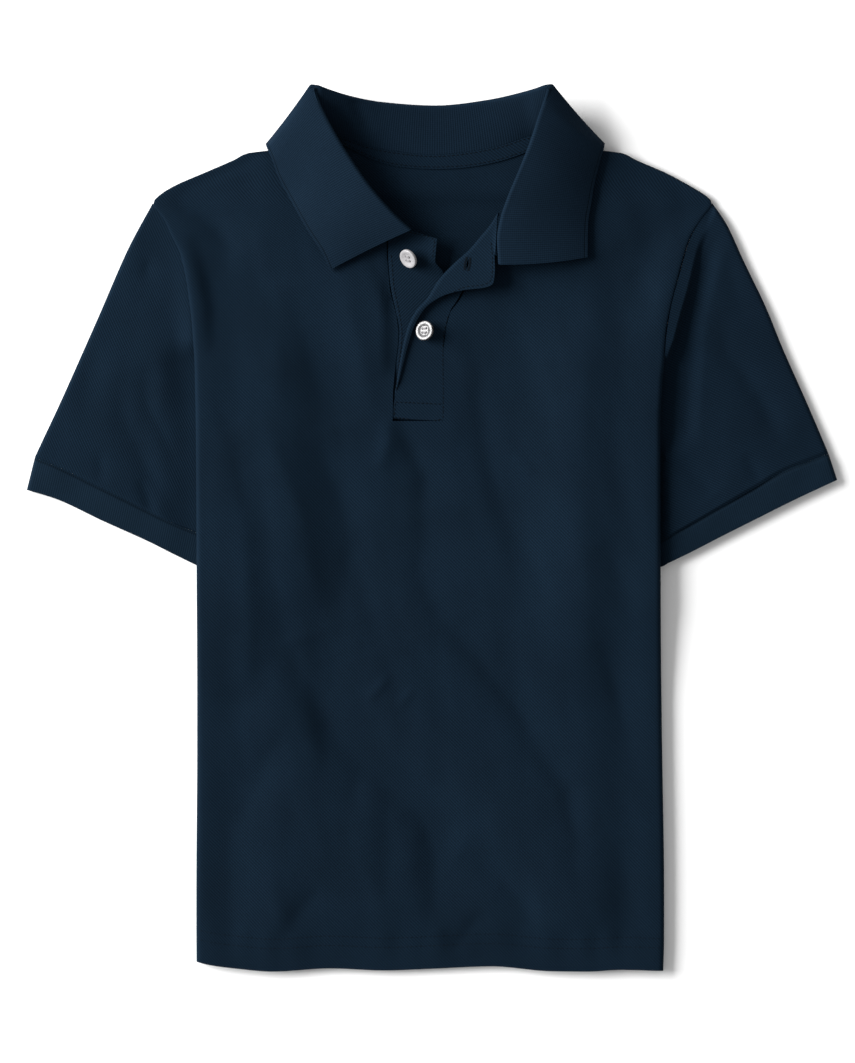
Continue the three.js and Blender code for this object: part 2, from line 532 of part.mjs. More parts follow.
function sleeve(shape) {
  const start = lineOf(shape.armhole);
  const end = lineOf(shape.cuffSeam);
  const edges = {
    start,
    end,
    outer: lineOf(shape.overarm),
    under: lineOf([shape.armhole.at(-1), shape.cuffSeam.at(-1)]),
  };
  const seamHeight = (point) => {
    const row = rowAt(body, 'y', point.y);
    return shape.side < 0 ? row.leftMid - 0.2 : row.top - 0.6;
  };
  const height = (point, s, t) => {
    const seam = start.getPointAt(t);
    const length = seam.distanceTo(end.getPointAt(t));
    const along = s * length;
    const strip = shape.fly * smooth(0, 0.3, t) * (1 - smooth(0.5, 0.66, t));
    const fall = smooth(strip + 0.2, strip + (shape.fly > 0 ? 3.5 : 26), along);
    const swell = sleeveRise + 1.2 * Math.sin(Math.PI * t) * smooth(0, 0.4, s);
    const visible = smooth(97, 108, seam.y);
    const free = mix(mix(swell, seamHeight(seam), visible), swell, fall);
    return tucked(point, shape.side, free, tuckedRise);
  };
  const steps = shape.fly > 0
    ? [0, 0.05, 0.075, 0.1, 0.16, 0.26, 0.38, 0.5, 0.62, 0.74, 0.86, 1]
    : [0, 0.05, 0.11, 0.2, 0.31, 0.42, 0.54, 0.66, 0.77, 0.88, 1];
  const grid = steps.map((s) => tubeRow(edges, s, 2.5, height));
  return wallFromGrid(grid, pique, { ring: true, flip: shape.side });
}

function cuff(shape) {
  const start = lineOf(shape.cuffTop);
  const end = lineOf(shape.cuffEdge);
  const edges = {
    start,
    end,
    outer: lineOf([shape.cuffTop[0], shape.cuffEdge[0]]),
    under: lineOf([shape.cuffTop.at(-1), shape.cuffEdge.at(-1)]),
  };
  const height = (point) => tucked(point, shape.side, cuffRise, tuckedCuffRise);
  const grid = [0, 0.33, 0.67, 1].map((s) => tubeRow(edges, s, 2.4, height));
  return wallFromGrid(grid, cuffRib, { ring: true, flip: shape.side });
}

// Collar: each section runs from the neck seam up the stand, over the fold and down the fall.
function collarSection(row) {
  const at = (list) => new THREE.Vector3(...list);
  const [neck, bulge, fold, middle, edge] = [row.neck, row.bulge, row.fold, row.middle, row.edge].map(at);
  const toStand = bulge.clone().sub(fold).normalize();
  const toFall = middle.clone().sub(fold).normalize();
  const apex = toStand.clone().add(toFall).multiplyScalar(-1).normalize();
  const cross = toFall.clone().sub(toStand);
  cross.addScaledVector(apex, -cross.dot(apex)).normalize();
  const centre = fold.clone().addScaledVector(apex, -collarRound);
  const arc = [-80, -40, 0, 40, 80].map((angle) => {
    const a = THREE.MathUtils.degToRad(angle);
    return centre.clone().addScaledVector(apex, collarRound * Math.cos(a))
      .addScaledVector(cross, collarRound * Math.sin(a));
  });
  const stand = new THREE.QuadraticBezierCurve3(neck, bulge, arc[0]);
  const fall = new THREE.CatmullRomCurve3([arc[4], middle, edge], false, 'centripetal');
  const section = [0, 0.3, 0.65].map((t) => stand.getPoint(t))
    .concat(arc, [0.2, 0.45, 0.7, 1].map((t) => fall.getPoint(t)));
  section.forEach((point) => point.setZ(Math.max(0, point.z)));
  return section;
}

function collarPiece() {
  const grid = collar.map(collarSection);
  return wallFromGrid(grid, rib, { flip: -1 });
}

function neckTape() {
  const grid = [];
  for (const spot of tapeEdge) {
    const upper = rowAt(backNeck, 'x', spot.x).y - 0.6;
    grid.push([0, 0.5, 1].map((t) => {
      const y = mix(spot.y, upper, t);
      return new THREE.Vector3(spot.x, y, backHeight(spot.x, y) + layerGap + tapeWall + 0.15);
    }));
  }
  return wallFromGrid(grid, tapeWall, { flip: -1 });
}

function underPlacket() {
  const grid = placketUnder.map((row) => [0, 0.03, 0.25, 0.5, 0.75, 0.97, 1].map((t) => {
    const edgeDrop = t === 0 || t === 1 ? 0.3 : 0;
    return new THREE.Vector3(mix(row.left[0], row.right[0], t), mix(row.left[1], row.right[1], t),
      row.rise - edgeDrop);
  }));
  return wallFromGrid(grid, placketWall, { flip: -1 });
}

// The face that this grid follows is the outer one round the fold: the lower layer's underside,
// the turn, and the upper layer's top.
function upperPlacket() {
  const grid = placketUpper.map((row) => {
    const [seam, turn] = [row.seam, row.turn];
    const list = [0, 0.33, 0.66].map((t) => new THREE.Vector3(mix(seam[0], turn[0], t),
      mix(seam[1], turn[1], t), row.rise));
    const away = new THREE.Vector3(turn[0] - seam[0], turn[1] - seam[1], 0).normalize();
    if (row.free) {
      const centre = new THREE.Vector3(turn[0], turn[1], row.rise + row.round);
      centre.addScaledVector(away, -row.round);
      for (const angle of [-90, -45, 0, 45, 90]) {
        const a = THREE.MathUtils.degToRad(angle);
        const point = centre.clone().addScaledVector(away, row.round * Math.cos(a));
        point.z += row.round * Math.sin(a);
        list.push(point);
      }
      const last = list[list.length - 1].clone();
      const freeEdge = new THREE.Vector3(row.free[0], row.free[1], last.z - 0.2);
      list.push(last.clone().lerp(freeEdge, 0.5), freeEdge);
    } else {
      const edge = new THREE.Vector3(turn[0], turn[1], row.rise);
      for (let n = 0; n < 7; n += 1) list.push(edge.clone());
    }
    return list;
  });
  return wallFromGrid(grid, placketWall, { flip: 1 });
}

// Button: a turned disc with a raised rim, a dished middle and four holes.
function button() {
  const r = buttonWidth / 2;
  const t = buttonThick;
  const dish = 0.5;
  const profile = [[0, -t], [r * 0.8, -t], [r, -t * 0.6], [r, -t * 0.25], [r * 0.93, 0], [r * 0.72, 0],
    [r * 0.55, -dish], [0, -dish]];
  const disc = new THREE.LatheGeometry(profile.map(([x, y]) => new THREE.Vector2(x, y)), 24);
  disc.rotateX(Math.PI / 2);
  let solid = toManifold(disc);
  for (const [sx, sy] of [[1, 1], [1, -1], [-1, 1], [-1, -1]]) {
    const hole = new THREE.CylinderGeometry(holeRadius, holeRadius, 8, 8);
    hole.rotateX(Math.PI / 2);
    hole.translate(sx * holeSpread, sy * holeSpread, 0);
    solid = solid.subtract(toManifold(hole));
  }
  return fromManifold(solid);
}

// The shirt
const shirt = new THREE.Group();

function piece(name, geometry, material) {
  const mesh = new THREE.Mesh(geometry, material);
  mesh.name = name;
  shirt.add(mesh);
  return mesh;
}

piece('back_panel', backPanel(), navy);
piece('front_panel', frontPanel(), navy);
piece('sleeve_left', sleeve(sleeves.left), navy);
piece('sleeve_right', sleeve(sleeves.right), navy);
piece('cuff_left', cuff(sleeves.left), navyRib);
piece('cuff_right', cuff(sleeves.right), navyRib);
piece('collar', collarPiece(), navyRib);
piece('neck_tape', neckTape(), navy);
piece('placket_under', underPlacket(), navy);
piece('placket_upper', upperPlacket(), navy);

for (const [name, place] of Object.entries(buttons)) {
  const mesh = piece(`button_${name}`, button(), pearl);
  mesh.position.set(...place.at);
  const axis = new THREE.Vector3(-place.lean[1], place.lean[0], 0).normalize();
  mesh.quaternion.setFromAxisAngle(axis, THREE.MathUtils.degToRad(place.tilt));
}

export default shirt;
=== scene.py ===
# %% [markdown]
# # A child's polo shirt, laid flat
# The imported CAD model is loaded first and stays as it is: it says where every piece of the shirt
# lies. Each piece of cloth is then made again as a finer shell on the same form, with its creases,
# seams and stitches, and replaces its plain solid.

# %% Load the frame
import math

import bmesh
import bpy
import numpy as np
from mathutils import Matrix, Vector


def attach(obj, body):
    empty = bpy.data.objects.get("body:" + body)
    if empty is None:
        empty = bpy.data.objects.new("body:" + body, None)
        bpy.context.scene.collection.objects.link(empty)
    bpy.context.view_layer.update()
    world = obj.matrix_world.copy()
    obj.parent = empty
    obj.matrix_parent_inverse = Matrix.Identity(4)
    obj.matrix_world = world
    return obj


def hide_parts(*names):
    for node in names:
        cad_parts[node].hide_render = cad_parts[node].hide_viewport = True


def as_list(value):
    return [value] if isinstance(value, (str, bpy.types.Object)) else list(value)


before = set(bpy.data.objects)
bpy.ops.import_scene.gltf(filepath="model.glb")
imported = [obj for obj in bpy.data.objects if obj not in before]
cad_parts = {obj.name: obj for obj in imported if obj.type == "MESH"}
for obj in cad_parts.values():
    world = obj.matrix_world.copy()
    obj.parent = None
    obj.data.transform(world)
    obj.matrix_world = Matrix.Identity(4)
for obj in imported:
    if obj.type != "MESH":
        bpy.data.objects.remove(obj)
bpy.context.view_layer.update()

# %% [markdown]
# ## Camera
# The shirt was photographed from straight above. The camera hangs 3 m over the surface and its
# lens takes in 500 by 622 mm there, which is the frame of the photograph.

# %% Camera
MM = 0.001
PHOTO_HIGH_MM = 622.0
PHOTO_MIDDLE_MM = (-2.6, -1.2)
CAMERA_HIGH_MM = 3000.0
SENSOR_MM = 36.0

camera_data = bpy.data.cameras.new("camera")
camera_data.sensor_width = SENSOR_MM
camera_data.lens = SENSOR_MM * CAMERA_HIGH_MM / PHOTO_HIGH_MM
camera = bpy.data.objects.new("camera", camera_data)
camera.location = (PHOTO_MIDDLE_MM[0] * MM, PHOTO_MIDDLE_MM[1] * MM, CAMERA_HIGH_MM * MM)
bpy.context.collection.objects.link(camera)
bpy.context.scene.camera = camera

# %% [markdown]
# ## Sizes
# Everything below is in millimetres until a mesh is made. The cloth is cotton pique, a knit with
# small raised cells; collar and cuffs are flat rib knit, a little thicker.

# %% Sizes
# The wall of each cloth.
PIQUE = 1.1
RIB = 1.7
CUFF_RIB = 1.6
PLACKET = 1.1
TAPE = 0.6

# The air between two layers, and how far the back's outer face lies inside the front's.
LAYER_GAP = 0.35
TURN_GAP = PIQUE + LAYER_GAP

# The folded edge at each side: its radius, and a power under 1 that makes it squarer than round.
FOLD_ROUND = 4.0
FOLD_SQUARE = 0.7

# Heights in the middle of the body: the front, its swell over the chest, the back, and how much
# the back rises over the collar's fall.
FRONT_RISE = 5.0
FRONT_SWELL = 1.2
BACK_RISE = 1.1
COLLAR_FALL_LIFT = 3.0

# How far above the hem's edge its two rows of stitches run.
HEM_STITCHES = (13.5, 19.0)

BUTTON_WIDTH = 11.6
BUTTON_THICK = 2.0

# The spacing of the points on a grid of cloth, and on the back, which is plainer.
FINE = 2.6
BACK_FINE = 3.4

# %% [markdown]
# ## The body as it lies
# One row of the table for each height on the body, from the hem up to the shoulder: its two
# edges, the width turned under at each side, and the heights of the layers at that edge.

# %% Table of the body
BODY_COLUMNS = "y left right turn base left_mid right_mid top over back_top".split()
BODY = np.array([
    (-258, -137.6, 135.2, 40, 0, 3.4, 3.4, 6.8, 3.9, 5.2),
    (-236, -137.7, 135.7, 40, 0, 3.6, 3.6, 7.2, 3.9, 5.6),
    (-214, -137.7, 135.7, 40, 0, 3.7, 3.7, 7.4, 3.9, 5.8),
    (-127, -137.2, 134.5, 40, 0, 3.8, 3.8, 7.6, 3.9, 6.0),
    (-104, -137.2, 134.2, 40, 0, 3.8, 3.8, 7.6, 3.9, 6.0),
    (-64, -137.2, 133.7, 40, 2.3, 6.0, 6.0, 9.7, 6.2, 8.2),
    (-36, -137.3, 133.5, 40, 4.3, 8.1, 8.1, 11.8, 8.2, 10.2),
    (28, -137.6, 133.3, 40, 4.3, 8.1, 8.1, 11.8, 8.2, 10.2),
    (64, -137.9, 133.4, 40, 4.3, 8.1, 8.1, 11.8, 8.2, 10.2),
    (80, -138.2, 134.3, 32, 4.3, 8.1, 8.1, 11.8, 8.2, 10.2),
    (89, -138.4, 134.8, 20, 4.3, 8.1, 8.1, 11.8, 8.2, 10.2),
    (97, -138.6, 135.7, 0, 4.3, 8.1, 8.4, 11.7, 8.1, 10.0),
    (113, -139.7, 136.3, 0, 0, 8.0, 10.0, 11.2, 6.6, 7.6),
    (130, -141.3, 139.2, 0, 0, 7.4, 9.2, 10.2, 4.6, 5.4),
    (147, -143.9, 143.6, 0, 0, 6.4, 7.8, 8.8, 2.8, 3.4),
    (160, -146.8, 147.2, 0, 0, 5.4, 6.6, 7.6, 1.8, 2.2),
    (171, -152.1, 151.0, 0, 0, 4.4, 5.3, 6.2, 1.3, 1.6),
    (182, -157.2, 157.9, 0, 0, 3.5, 4.0, 4.9, 1.2, 1.3),
    (191, -163.0, 163.8, 0, 0, 2.8, 2.8, 3.7, 1.1, 1.2),
    (195, -159.8, 160.2, 0, 0, 2.8, 2.8, 3.7, 1.1, 1.2),
    (200.4, -151.5, 151.5, 0, 0, 2.8, 2.8, 3.8, 1.1, 1.2),
    (208.6, -132.8, 136.3, 0, 0, 3.0, 3.0, 4.0, 1.2, 1.4),
    (216, -115.6, 119.0, 0, 0, 3.4, 3.4, 4.7, 1.8, 1.9),
    (220, -107.0, 110.6, 0, 0, 4.4, 4.4, 5.6, 2.9, 3.1),
    (221, -98.5, 102.5, 0, 0, 4.9, 4.9, 6.2, 3.9, 3.9),
    (222.5, -86.0, 90.0, 0, 0, 4.9, 4.9, 6.2, 3.9, 3.9),
    (225, -75.0, 79.0, 0, 0, 4.9, 4.9, 6.2, 3.9, 3.9),
])
HEM = np.array([
    (-138, -252.4), (-129, -254.5), (-114, -256.5), (-93, -258.2), (-60, -256.4), (-28, -257.6),
    (2, -256.5), (35, -255.2), (69, -258.0), (91, -258.2), (110, -257.2), (136, -257.8),
])
HEM_Y, UNDERARM_Y, SHOULDER_Y = -258, 97, 225

# %% [markdown]
# ## Folds
# Soft light from the left darkens cloth that falls away to the right and brightens cloth that
# rises. Each fold is a path from the top down, with the height of its ridge, or below 0 the
# depth of its valley, and how far its two flanks reach. A short flank is steep and shows, and a
# long one fades out. They are placed one by one and uneven, as cloth that was patted flat is.

# %% Table of folds
FOLDS = [
    # name, path, height, left flank, right flank
    ("shoulder crease", [(-155, 193), (-139, 187), (-127, 178), (-114, 160)], -2.5, 4, 9),
    ("armhole hollow", [(-140, 172), (-133, 152), (-127, 134), (-125, 112), (-127, 98)], -2.7, 6, 14),
    ("outer chest", [(-104, 152), (-99, 122), (-97, 94)], -1.9, 11, 16),
    ("inner chest", [(-80, 142), (-71, 105), (-64, 82), (-58, 60)], -2.2, 12, 24),
    ("chest ridge", [(-52, 166), (-48, 140), (-43, 110), (-38, 82), (-36, 54)], 1.4, 16, 9),
    ("beside the placket", [(-30, 158), (-27.5, 120), (-26.5, 90)], 1.0, 34, 4),
    ("beside the box", [(-23.5, 84), (-23.2, 66), (-25, 50), (-28, 32), (-31, 14)], 0.5, 24, 6),
    ("collar tip crease", [(-37, 161), (-28, 145), (-21, 124)], -1.6, 4, 4),
    ("rib ridge", [(-114, 66), (-92, 48), (-80, 24), (-74, -8), (-64, -46)], 1.5, 12, 9),
    ("upper rib fold", [(-74, 62), (-63, 40), (-52, 16), (-47, -12), (-51, -50)], -1.5, 10, 11),
    ("left waist ridge", [(-122, 60), (-119, 34), (-113, 6), (-108, -26), (-107, -60), (-112, -98)],
     2.3, 18, 8),
    ("left waist valley", [(-100, 30), (-96, 2), (-92, -30), (-89, -60), (-98, -84), (-102, -108)],
     -2.4, 15, 14),
    ("middle rib fold", [(-40, 2), (-44, -16), (-38, -44), (-26, -66)], -1.0, 8, 10),
    ("great diagonal", [(-82, -66), (-76, -84), (-64, -104), (-51, -120), (-36, -137), (-21, -148),
                        (-9, -158), (0, -174), (3, -192), (2, -214), (-1, -234)], -5.6, 11, 26),
    ("belly branch, outer", [(-64, -112), (-61, -130), (-64, -152)], -1.0, 9, 9),
    ("belly branch, inner", [(-44, -128), (-42, -146), (-46, -168)], -0.9, 8, 9),
    ("great diagonal, branch", [(-24, -152), (-25, -180), (-27, -218)], -1.3, 9, 11),
    ("left flank fold", [(-86, -116), (-95, -134), (-106, -154), (-112, -174)], -1.9, 9, 11),
    ("left edge fold", [(-117, -142), (-125, -162), (-128, -186), (-126, -212), (-122, -240)], -2.6, 5, 8),
    ("left hem fold", [(-65, -206), (-77, -225), (-90, -238)], -1.5, 6, 10),
    ("middle hem fold", [(16, -190), (42, -204), (54, -222), (58, -234)], -2.0, 7, 9),
    ("small hem crease", [(32, -224), (20, -236), (14, -250)], -1.1, 4, 5),
    ("right hem ridge", [(88, -150), (96, -190), (104, -238)], 1.2, 22, 14),
    ("right hem valley", [(108, -180), (116, -236)], -0.9, 14, 10),
    ("placket pull", [(-21, 63), (-12, 47), (-5, 31), (-4, 12)], -2.2, 5, 11),
    ("placket pull, bright side", [(-27, 66), (-27, 50), (-30, 34)], 1.3, 4, 5),
    ("middle valley", [(-8, 34), (-6, 8), (-6, -26), (6, -54)], -1.6, 9, 16),
    ("long diagonal", [(2, -42), (10, -56), (27, -76), (45, -100), (61, -124), (78, -152), (84, -180),
                       (86, -216)], -2.4, 7, 14),
    ("right chest fold", [(33, 104), (29, 76), (28, 52), (37, 24), (54, -9), (68, -44)], -1.7, 8, 12),
    ("right side, upper", [(97, -10), (113, -32), (119, -50)], -1.0, 8, 8),
    ("right side, lower", [(98, -64), (112, -97), (124, -125), (130, -156)], -1.6, 8, 10),
    ("right chest ridge", [(84, 122), (88, 76), (84, 36)], 0.9, 20, 14),
    ("right armhole hollow", [(117, 152), (126, 138), (130, 116)], -1.4, 8, 6),
    ("right shoulder hollow", [(101, 164), (108, 136), (106, 118)], -1.1, 10, 10),
]
SLEEVE_FOLDS = {
    "left": [
        ("outer fold", [(-185, 90), (-180, 61), (-168, 38), (-153, 20), (-145, 4)], -1.8, 9, 10),
        ("inner fold", [(-168, 96), (-165, 70), (-156, 50), (-143, 28)], -1.5, 7, 8),
        ("shoulder notch", [(-164, 160), (-168, 146)], -0.9, 4, 4),
        ("overarm fold", [(-196, 104), (-204, 78), (-206, 56)], -0.8, 10, 10),
        ("cuff pucker", [(-170, 30), (-165, 18), (-162, 4)], -1.0, 3, 4),
        ("small cuff pucker", [(-196, 46), (-193, 36), (-192, 26)], -0.7, 3, 4),
    ],
    "right": [
        ("main fold", [(168, 128), (173, 104), (186, 86), (205, 58)], -1.5, 8, 8),
        ("underarm fold", [(138, 42), (152, 34), (164, 20)], -1.3, 6, 6),
        ("outer fold", [(190, 80), (198, 66), (206, 50)], -0.9, 6, 6),
        ("cuff pucker", [(184, 44), (188, 34), (190, 26)], -0.8, 3, 4),
        ("shoulder fold", [(172, 160), (178, 140), (184, 122)], -0.7, 7, 7),
    ],
}
SCRATCHES = [
    # short sharp creases that stand up, each from a point to a point
    ((-37.7, -99.7), (-24.6, -85.7)),
    ((-18.7, -102.6), (-11.4, -93.3)),
    ((48, 42), (60, 33)),
]
SCRATCH_HIGH = 0.8
SCRATCH_WIDE = 2.2

# No path is quite smooth: how much it wanders aside, the length of that wave, and its seed.
WANDER = [(1.6, 27, 3), (0.5, 9, 5)]
# The cloth's own unevenness: height, width across and length down the cloth, and seed.
UNEVEN = [(0.32, 12, 48, 11), (0.1, 6, 18, 12)]
UNEVEN_SLANT = 0.3
PUCKER_HIGH = 0.2

# %% [markdown]
# Small helpers come first: a smooth curve through a table, a soft step, and the distance from a
# path. They work on whole numpy arrays, so that a panel's thousands of points take one call.

# %% Helpers for curves
def mix(a, b, t):
    return a + (b - a) * t


def step(low, high, value):
    """From 0 at low to 1 at high, with soft ends."""
    t = np.clip((np.asarray(value, float) - low) / (high - low), 0, 1)
    return t * t * (3 - 2 * t)


def kept_above(least, value, soft):
    """The value where it is well above the least one, and never below that one."""
    gap = value - least
    return least + 0.5 * (gap + np.sqrt(gap * gap + soft))


def hermite(t, start, end, span, start_slope, end_slope):
    """A cubic between two values with the slopes given at its ends."""
    return ((2 * t**3 - 3 * t**2 + 1) * start + (t**3 - 2 * t**2 + t) * span * start_slope
            + (3 * t**2 - 2 * t**3) * end + (t**3 - t**2) * span * end_slope)


def through(value, keys, column):
    """A smooth curve through a table's column that never overshoots it."""
    keys = np.asarray(keys, float)
    column = np.asarray(column, float)
    span = np.diff(keys)
    slope = np.diff(column) / span
    tangent = np.zeros(len(keys))
    tangent[0], tangent[-1] = slope[0], slope[-1]
    rising = slope[:-1] * slope[1:] > 0
    with np.errstate(divide="ignore", invalid="ignore"):
        heavy, light = 2 * span[1:] + span[:-1], span[1:] + 2 * span[:-1]
        tangent[1:-1] = np.where(rising, (heavy + light) / (heavy / slope[:-1] + light / slope[1:]), 0)
    i = np.clip(np.searchsorted(keys, value, side="right") - 1, 0, len(keys) - 2)
    t = np.clip((value - keys[i]) / span[i], 0, 1)
    return hermite(t, column[i], column[i + 1], span[i], tangent[i], tangent[i + 1])


def body_at(name, y):
    """A column of the body's table at a height on the body."""
    return through(y, BODY[:, 0], BODY[:, BODY_COLUMNS.index(name)])


def hem_at(x):
    return through(x, HEM[:, 0], HEM[:, 1])


def from_path(x, y, path):
    """The distance from a path, positive on the right of it, and how far along it, 0 to 1."""
    best = np.full(np.shape(x), 1e9)
    side = np.ones(np.shape(x))
    along = np.zeros(np.shape(x))
    lengths = [math.dist(a, b) for a, b in zip(path, path[1:])]
    whole = sum(lengths)
    gone = 0.0
    for (ax, ay), (bx, by), length in zip(path, path[1:], lengths):
        dx, dy = (bx - ax) / length, (by - ay) / length
        t = np.clip((x - ax) * dx + (y - ay) * dy, 0, length)
        away_x, away_y = x - ax - dx * t, y - ay - dy * t
        far = np.hypot(away_x, away_y)
        near = far < best
        across = away_x * -dy + away_y * dx
        best = np.where(near, far, best)
        side = np.where(near, np.sign(across), side)
        along = np.where(near, (gone + t) / whole, along)
        gone += length
    return best * side, along


def value_noise(x, y, seed, size=256):
    """Smooth random heights from -1 to 1, one for each whole step of x and y."""
    grid = np.random.default_rng(seed).uniform(-1, 1, (size, size))
    ix, iy = np.floor(x).astype(int), np.floor(y).astype(int)
    fx, fy = (f**3 * (f * (6 * f - 15) + 10) for f in (x - ix, y - iy))
    near_row, far_row = ((grid[ix % size, row % size], grid[(ix + 1) % size, row % size])
                         for row in (iy, iy + 1))
    return mix(mix(*near_row, fx), mix(*far_row, fx), fy)


def folded(x, y, folds):
    """The height that a table of folds adds at each place."""
    x, y = np.broadcast_arrays(np.asarray(x, float), np.asarray(y, float))
    wander = sum(much * value_noise(x / long, y / long, seed) for much, long, seed in WANDER)
    high = np.zeros(x.shape)
    for _, path, height, left, right in folds:
        d, along = from_path(x, y, path)
        d = d + wander
        # The root makes the crest round, the first power fades both ends of the path out, and the
        # second one draws a flank that is steep near the crest and has a long foot.
        reach = np.sqrt((d / np.where(d < 0, left, right)) ** 2 + 0.02) - 0.14
        taper = np.sin(math.pi * np.clip(along, 0, 1)) ** 0.7
        high = high + height * taper * np.exp(-np.maximum(reach, 0) ** 1.25)
    return high


def fold_height(x, y):
    """All that the folds, the short creases and the cloth's own unevenness add to the front."""
    high = folded(x, y, FOLDS)
    across, down = x + UNEVEN_SLANT * y, y - UNEVEN_SLANT * x
    for much, wide, long, seed in UNEVEN:
        high = high + much * value_noise(across / wide, down / long, seed)
    for scratch in SCRATCHES:
        d, along = from_path(x, y, scratch)
        taper = np.sqrt(np.clip(4 * along * (1 - along), 0, 1))
        high = high + SCRATCH_HIGH * np.exp(-(d / SCRATCH_WIDE) ** 2) * taper
    return high


def pucker(x, y):
    """The small uneven waves that stitching draws up: they reach further below its upper row."""
    away = y - hem_at(x) - HEM_STITCHES[1]
    wave = np.sin(x / 3.1 + 1.7 * np.sin(x / 17.0)) + 0.6 * np.sin(x / 5.3 + 2.0)
    reach = np.where(away < 0, 14.0, 5.0)
    return PUCKER_HIGH * wave * np.exp(-(away / reach) ** 2)

# %% [markdown]
# ## Heights of the two layers
# The back lies on the surface in the middle and rises over the parts turned under at the sides.
# The front lies on the back with a little air between them, carries the folds, and comes down in
# a round edge at each side. It swells a little over the chest, lies lower along the placket's left
# edge, so that the placket stands over it, and is lifted by the box of stitches.

# %% Heights of back and front
# How far in from the folded edge each change of height begins and ends.
EDGE_FADES = (FOLD_ROUND, 28)
BACK_STEPS_DOWN = (42, 60)
FRONT_STEPS_DOWN = (42, 88)
FOLDS_BEGIN = (0, 14)
SWELL_BEGINS = (14, 50)

AIR_OVER_TURN = 0.7
BELLY_SWELL = 0.9
BOX_LIFT = 0.5
SLACK_AIR = 0.1
PLACKET_LEFT = -24


def from_edge(x, y):
    """How far a place lies inside the nearer side of the body."""
    return np.minimum(x - body_at("left", y), body_at("right", y) - x)


def back_height(x, y):
    inside = from_edge(x, y)
    fall = COLLAR_FALL_LIFT * step(188, 198, y) * (1 - step(98, 112, np.abs(x)))
    flat = BACK_RISE + fall
    over = np.maximum(body_at("over", y), flat)
    return (flat + (over - flat) * (1 - step(*BACK_STEPS_DOWN, inside))
            + np.maximum(0, body_at("back_top", y) - over) * (1 - step(*EDGE_FADES, inside)))


def front_height(x, y):
    inside = from_edge(x, y)
    over = np.maximum(body_at("over", y) + TURN_GAP + AIR_OVER_TURN, FRONT_RISE)
    slack = step(*FOLDS_BEGIN, inside) * step(-262, -240, y)
    low_side = (1 - step(0, 5, PLACKET_LEFT - x)) * (1 - step(-4, 4, x)) * step(84, 100, y)
    box_side = (step(PLACKET_LEFT, -10, x) * (1 - step(8, 30, x))
                * step(44, 60, y) * (1 - step(120, 136, y)))
    swell = FRONT_SWELL + BELLY_SWELL * (1 - step(-10, 45, y))
    lifted = (FRONT_RISE + (over - FRONT_RISE) * (1 - step(*FRONT_STEPS_DOWN, inside))
              + (body_at("top", y) - over) * (1 - step(*EDGE_FADES, inside))
              + swell * step(*SWELL_BEGINS, inside) * step(HEM_Y, -225, y)
              * (1 - step(186, 205, y)) * (1 - low_side)
              + BOX_LIFT * box_side + slack * fold_height(x, y) + pucker(x, y))
    return kept_above(back_height(x, y) + TURN_GAP + SLACK_AIR * slack, lifted, 0.3)

# %% [markdown]
# ## Cloth as a shell
# A grid of points is the cloth's outer face. The other face lies a wall's thickness behind it,
# along the normal, and the rims are closed, so every piece is one closed shell as a real layer
# of cloth is. Each face also gets map coordinates in metres along the cloth, for its knit.

# %% Shells from grids
# Points of a grid nearer than the first two are at one place, in millimetres. In a finished mesh,
# in metres, nearer points are merged and shorter edges go.
SAME_PLACE = 0.02
SAME_COLUMN = 0.004
MERGED_M = 4e-6
NO_LENGTH_M = 2e-6


def neighbour(grid, axis, way, ring):
    """For each point, the nearest one in a direction that isn't at the same place."""
    count = grid.shape[axis]
    found = np.zeros(grid.shape[:2], bool)
    result = grid.copy()
    for reach in range(1, 40):
        index = np.arange(count) + way * reach
        index = index % count if ring else np.clip(index, 0, count - 1)
        other = np.take(grid, index, axis=axis)
        take = ~found & (np.linalg.norm(other - grid, axis=2) > SAME_PLACE)
        result[take] = other[take]
        found |= take
    return result


def normals_of(grid, ring):
    across = neighbour(grid, 1, 1, ring) - neighbour(grid, 1, -1, ring)
    along = neighbour(grid, 0, 1, False) - neighbour(grid, 0, -1, False)
    normal = np.cross(across, along)
    return normal / np.maximum(np.linalg.norm(normal, axis=2, keepdims=True), 1e-9)


def map_of(grid, anchor, ring):
    """Lengths along the cloth, across from the anchor column and along each column."""
    closed = np.concatenate([grid, grid[:, :1]], axis=1) if ring else grid
    steps = np.linalg.norm(np.diff(closed, axis=1), axis=2)
    across = np.concatenate([np.zeros((len(grid), 1)), np.cumsum(steps, axis=1)], axis=1)
    across -= across[:, anchor:anchor + 1]
    rows = np.linalg.norm(np.diff(closed, axis=0), axis=2).mean(axis=1)
    along = np.concatenate([[0], np.cumsum(rows)])
    return np.stack([across, np.broadcast_to(along[:, None], across.shape)], axis=2) * MM


def plan_map(grid, degrees=0.0):
    """Places on the cloth as seen from above, with the knit's columns turned by an angle."""
    closed = np.concatenate([grid, grid[:, :1]], axis=1)
    c, s = math.cos(math.radians(degrees)), math.sin(math.radians(degrees))
    across = closed[:, :, 0] * c + closed[:, :, 1] * s
    along = closed[:, :, 1] * c - closed[:, :, 0] * s
    return np.stack([across, along], axis=2) * MM


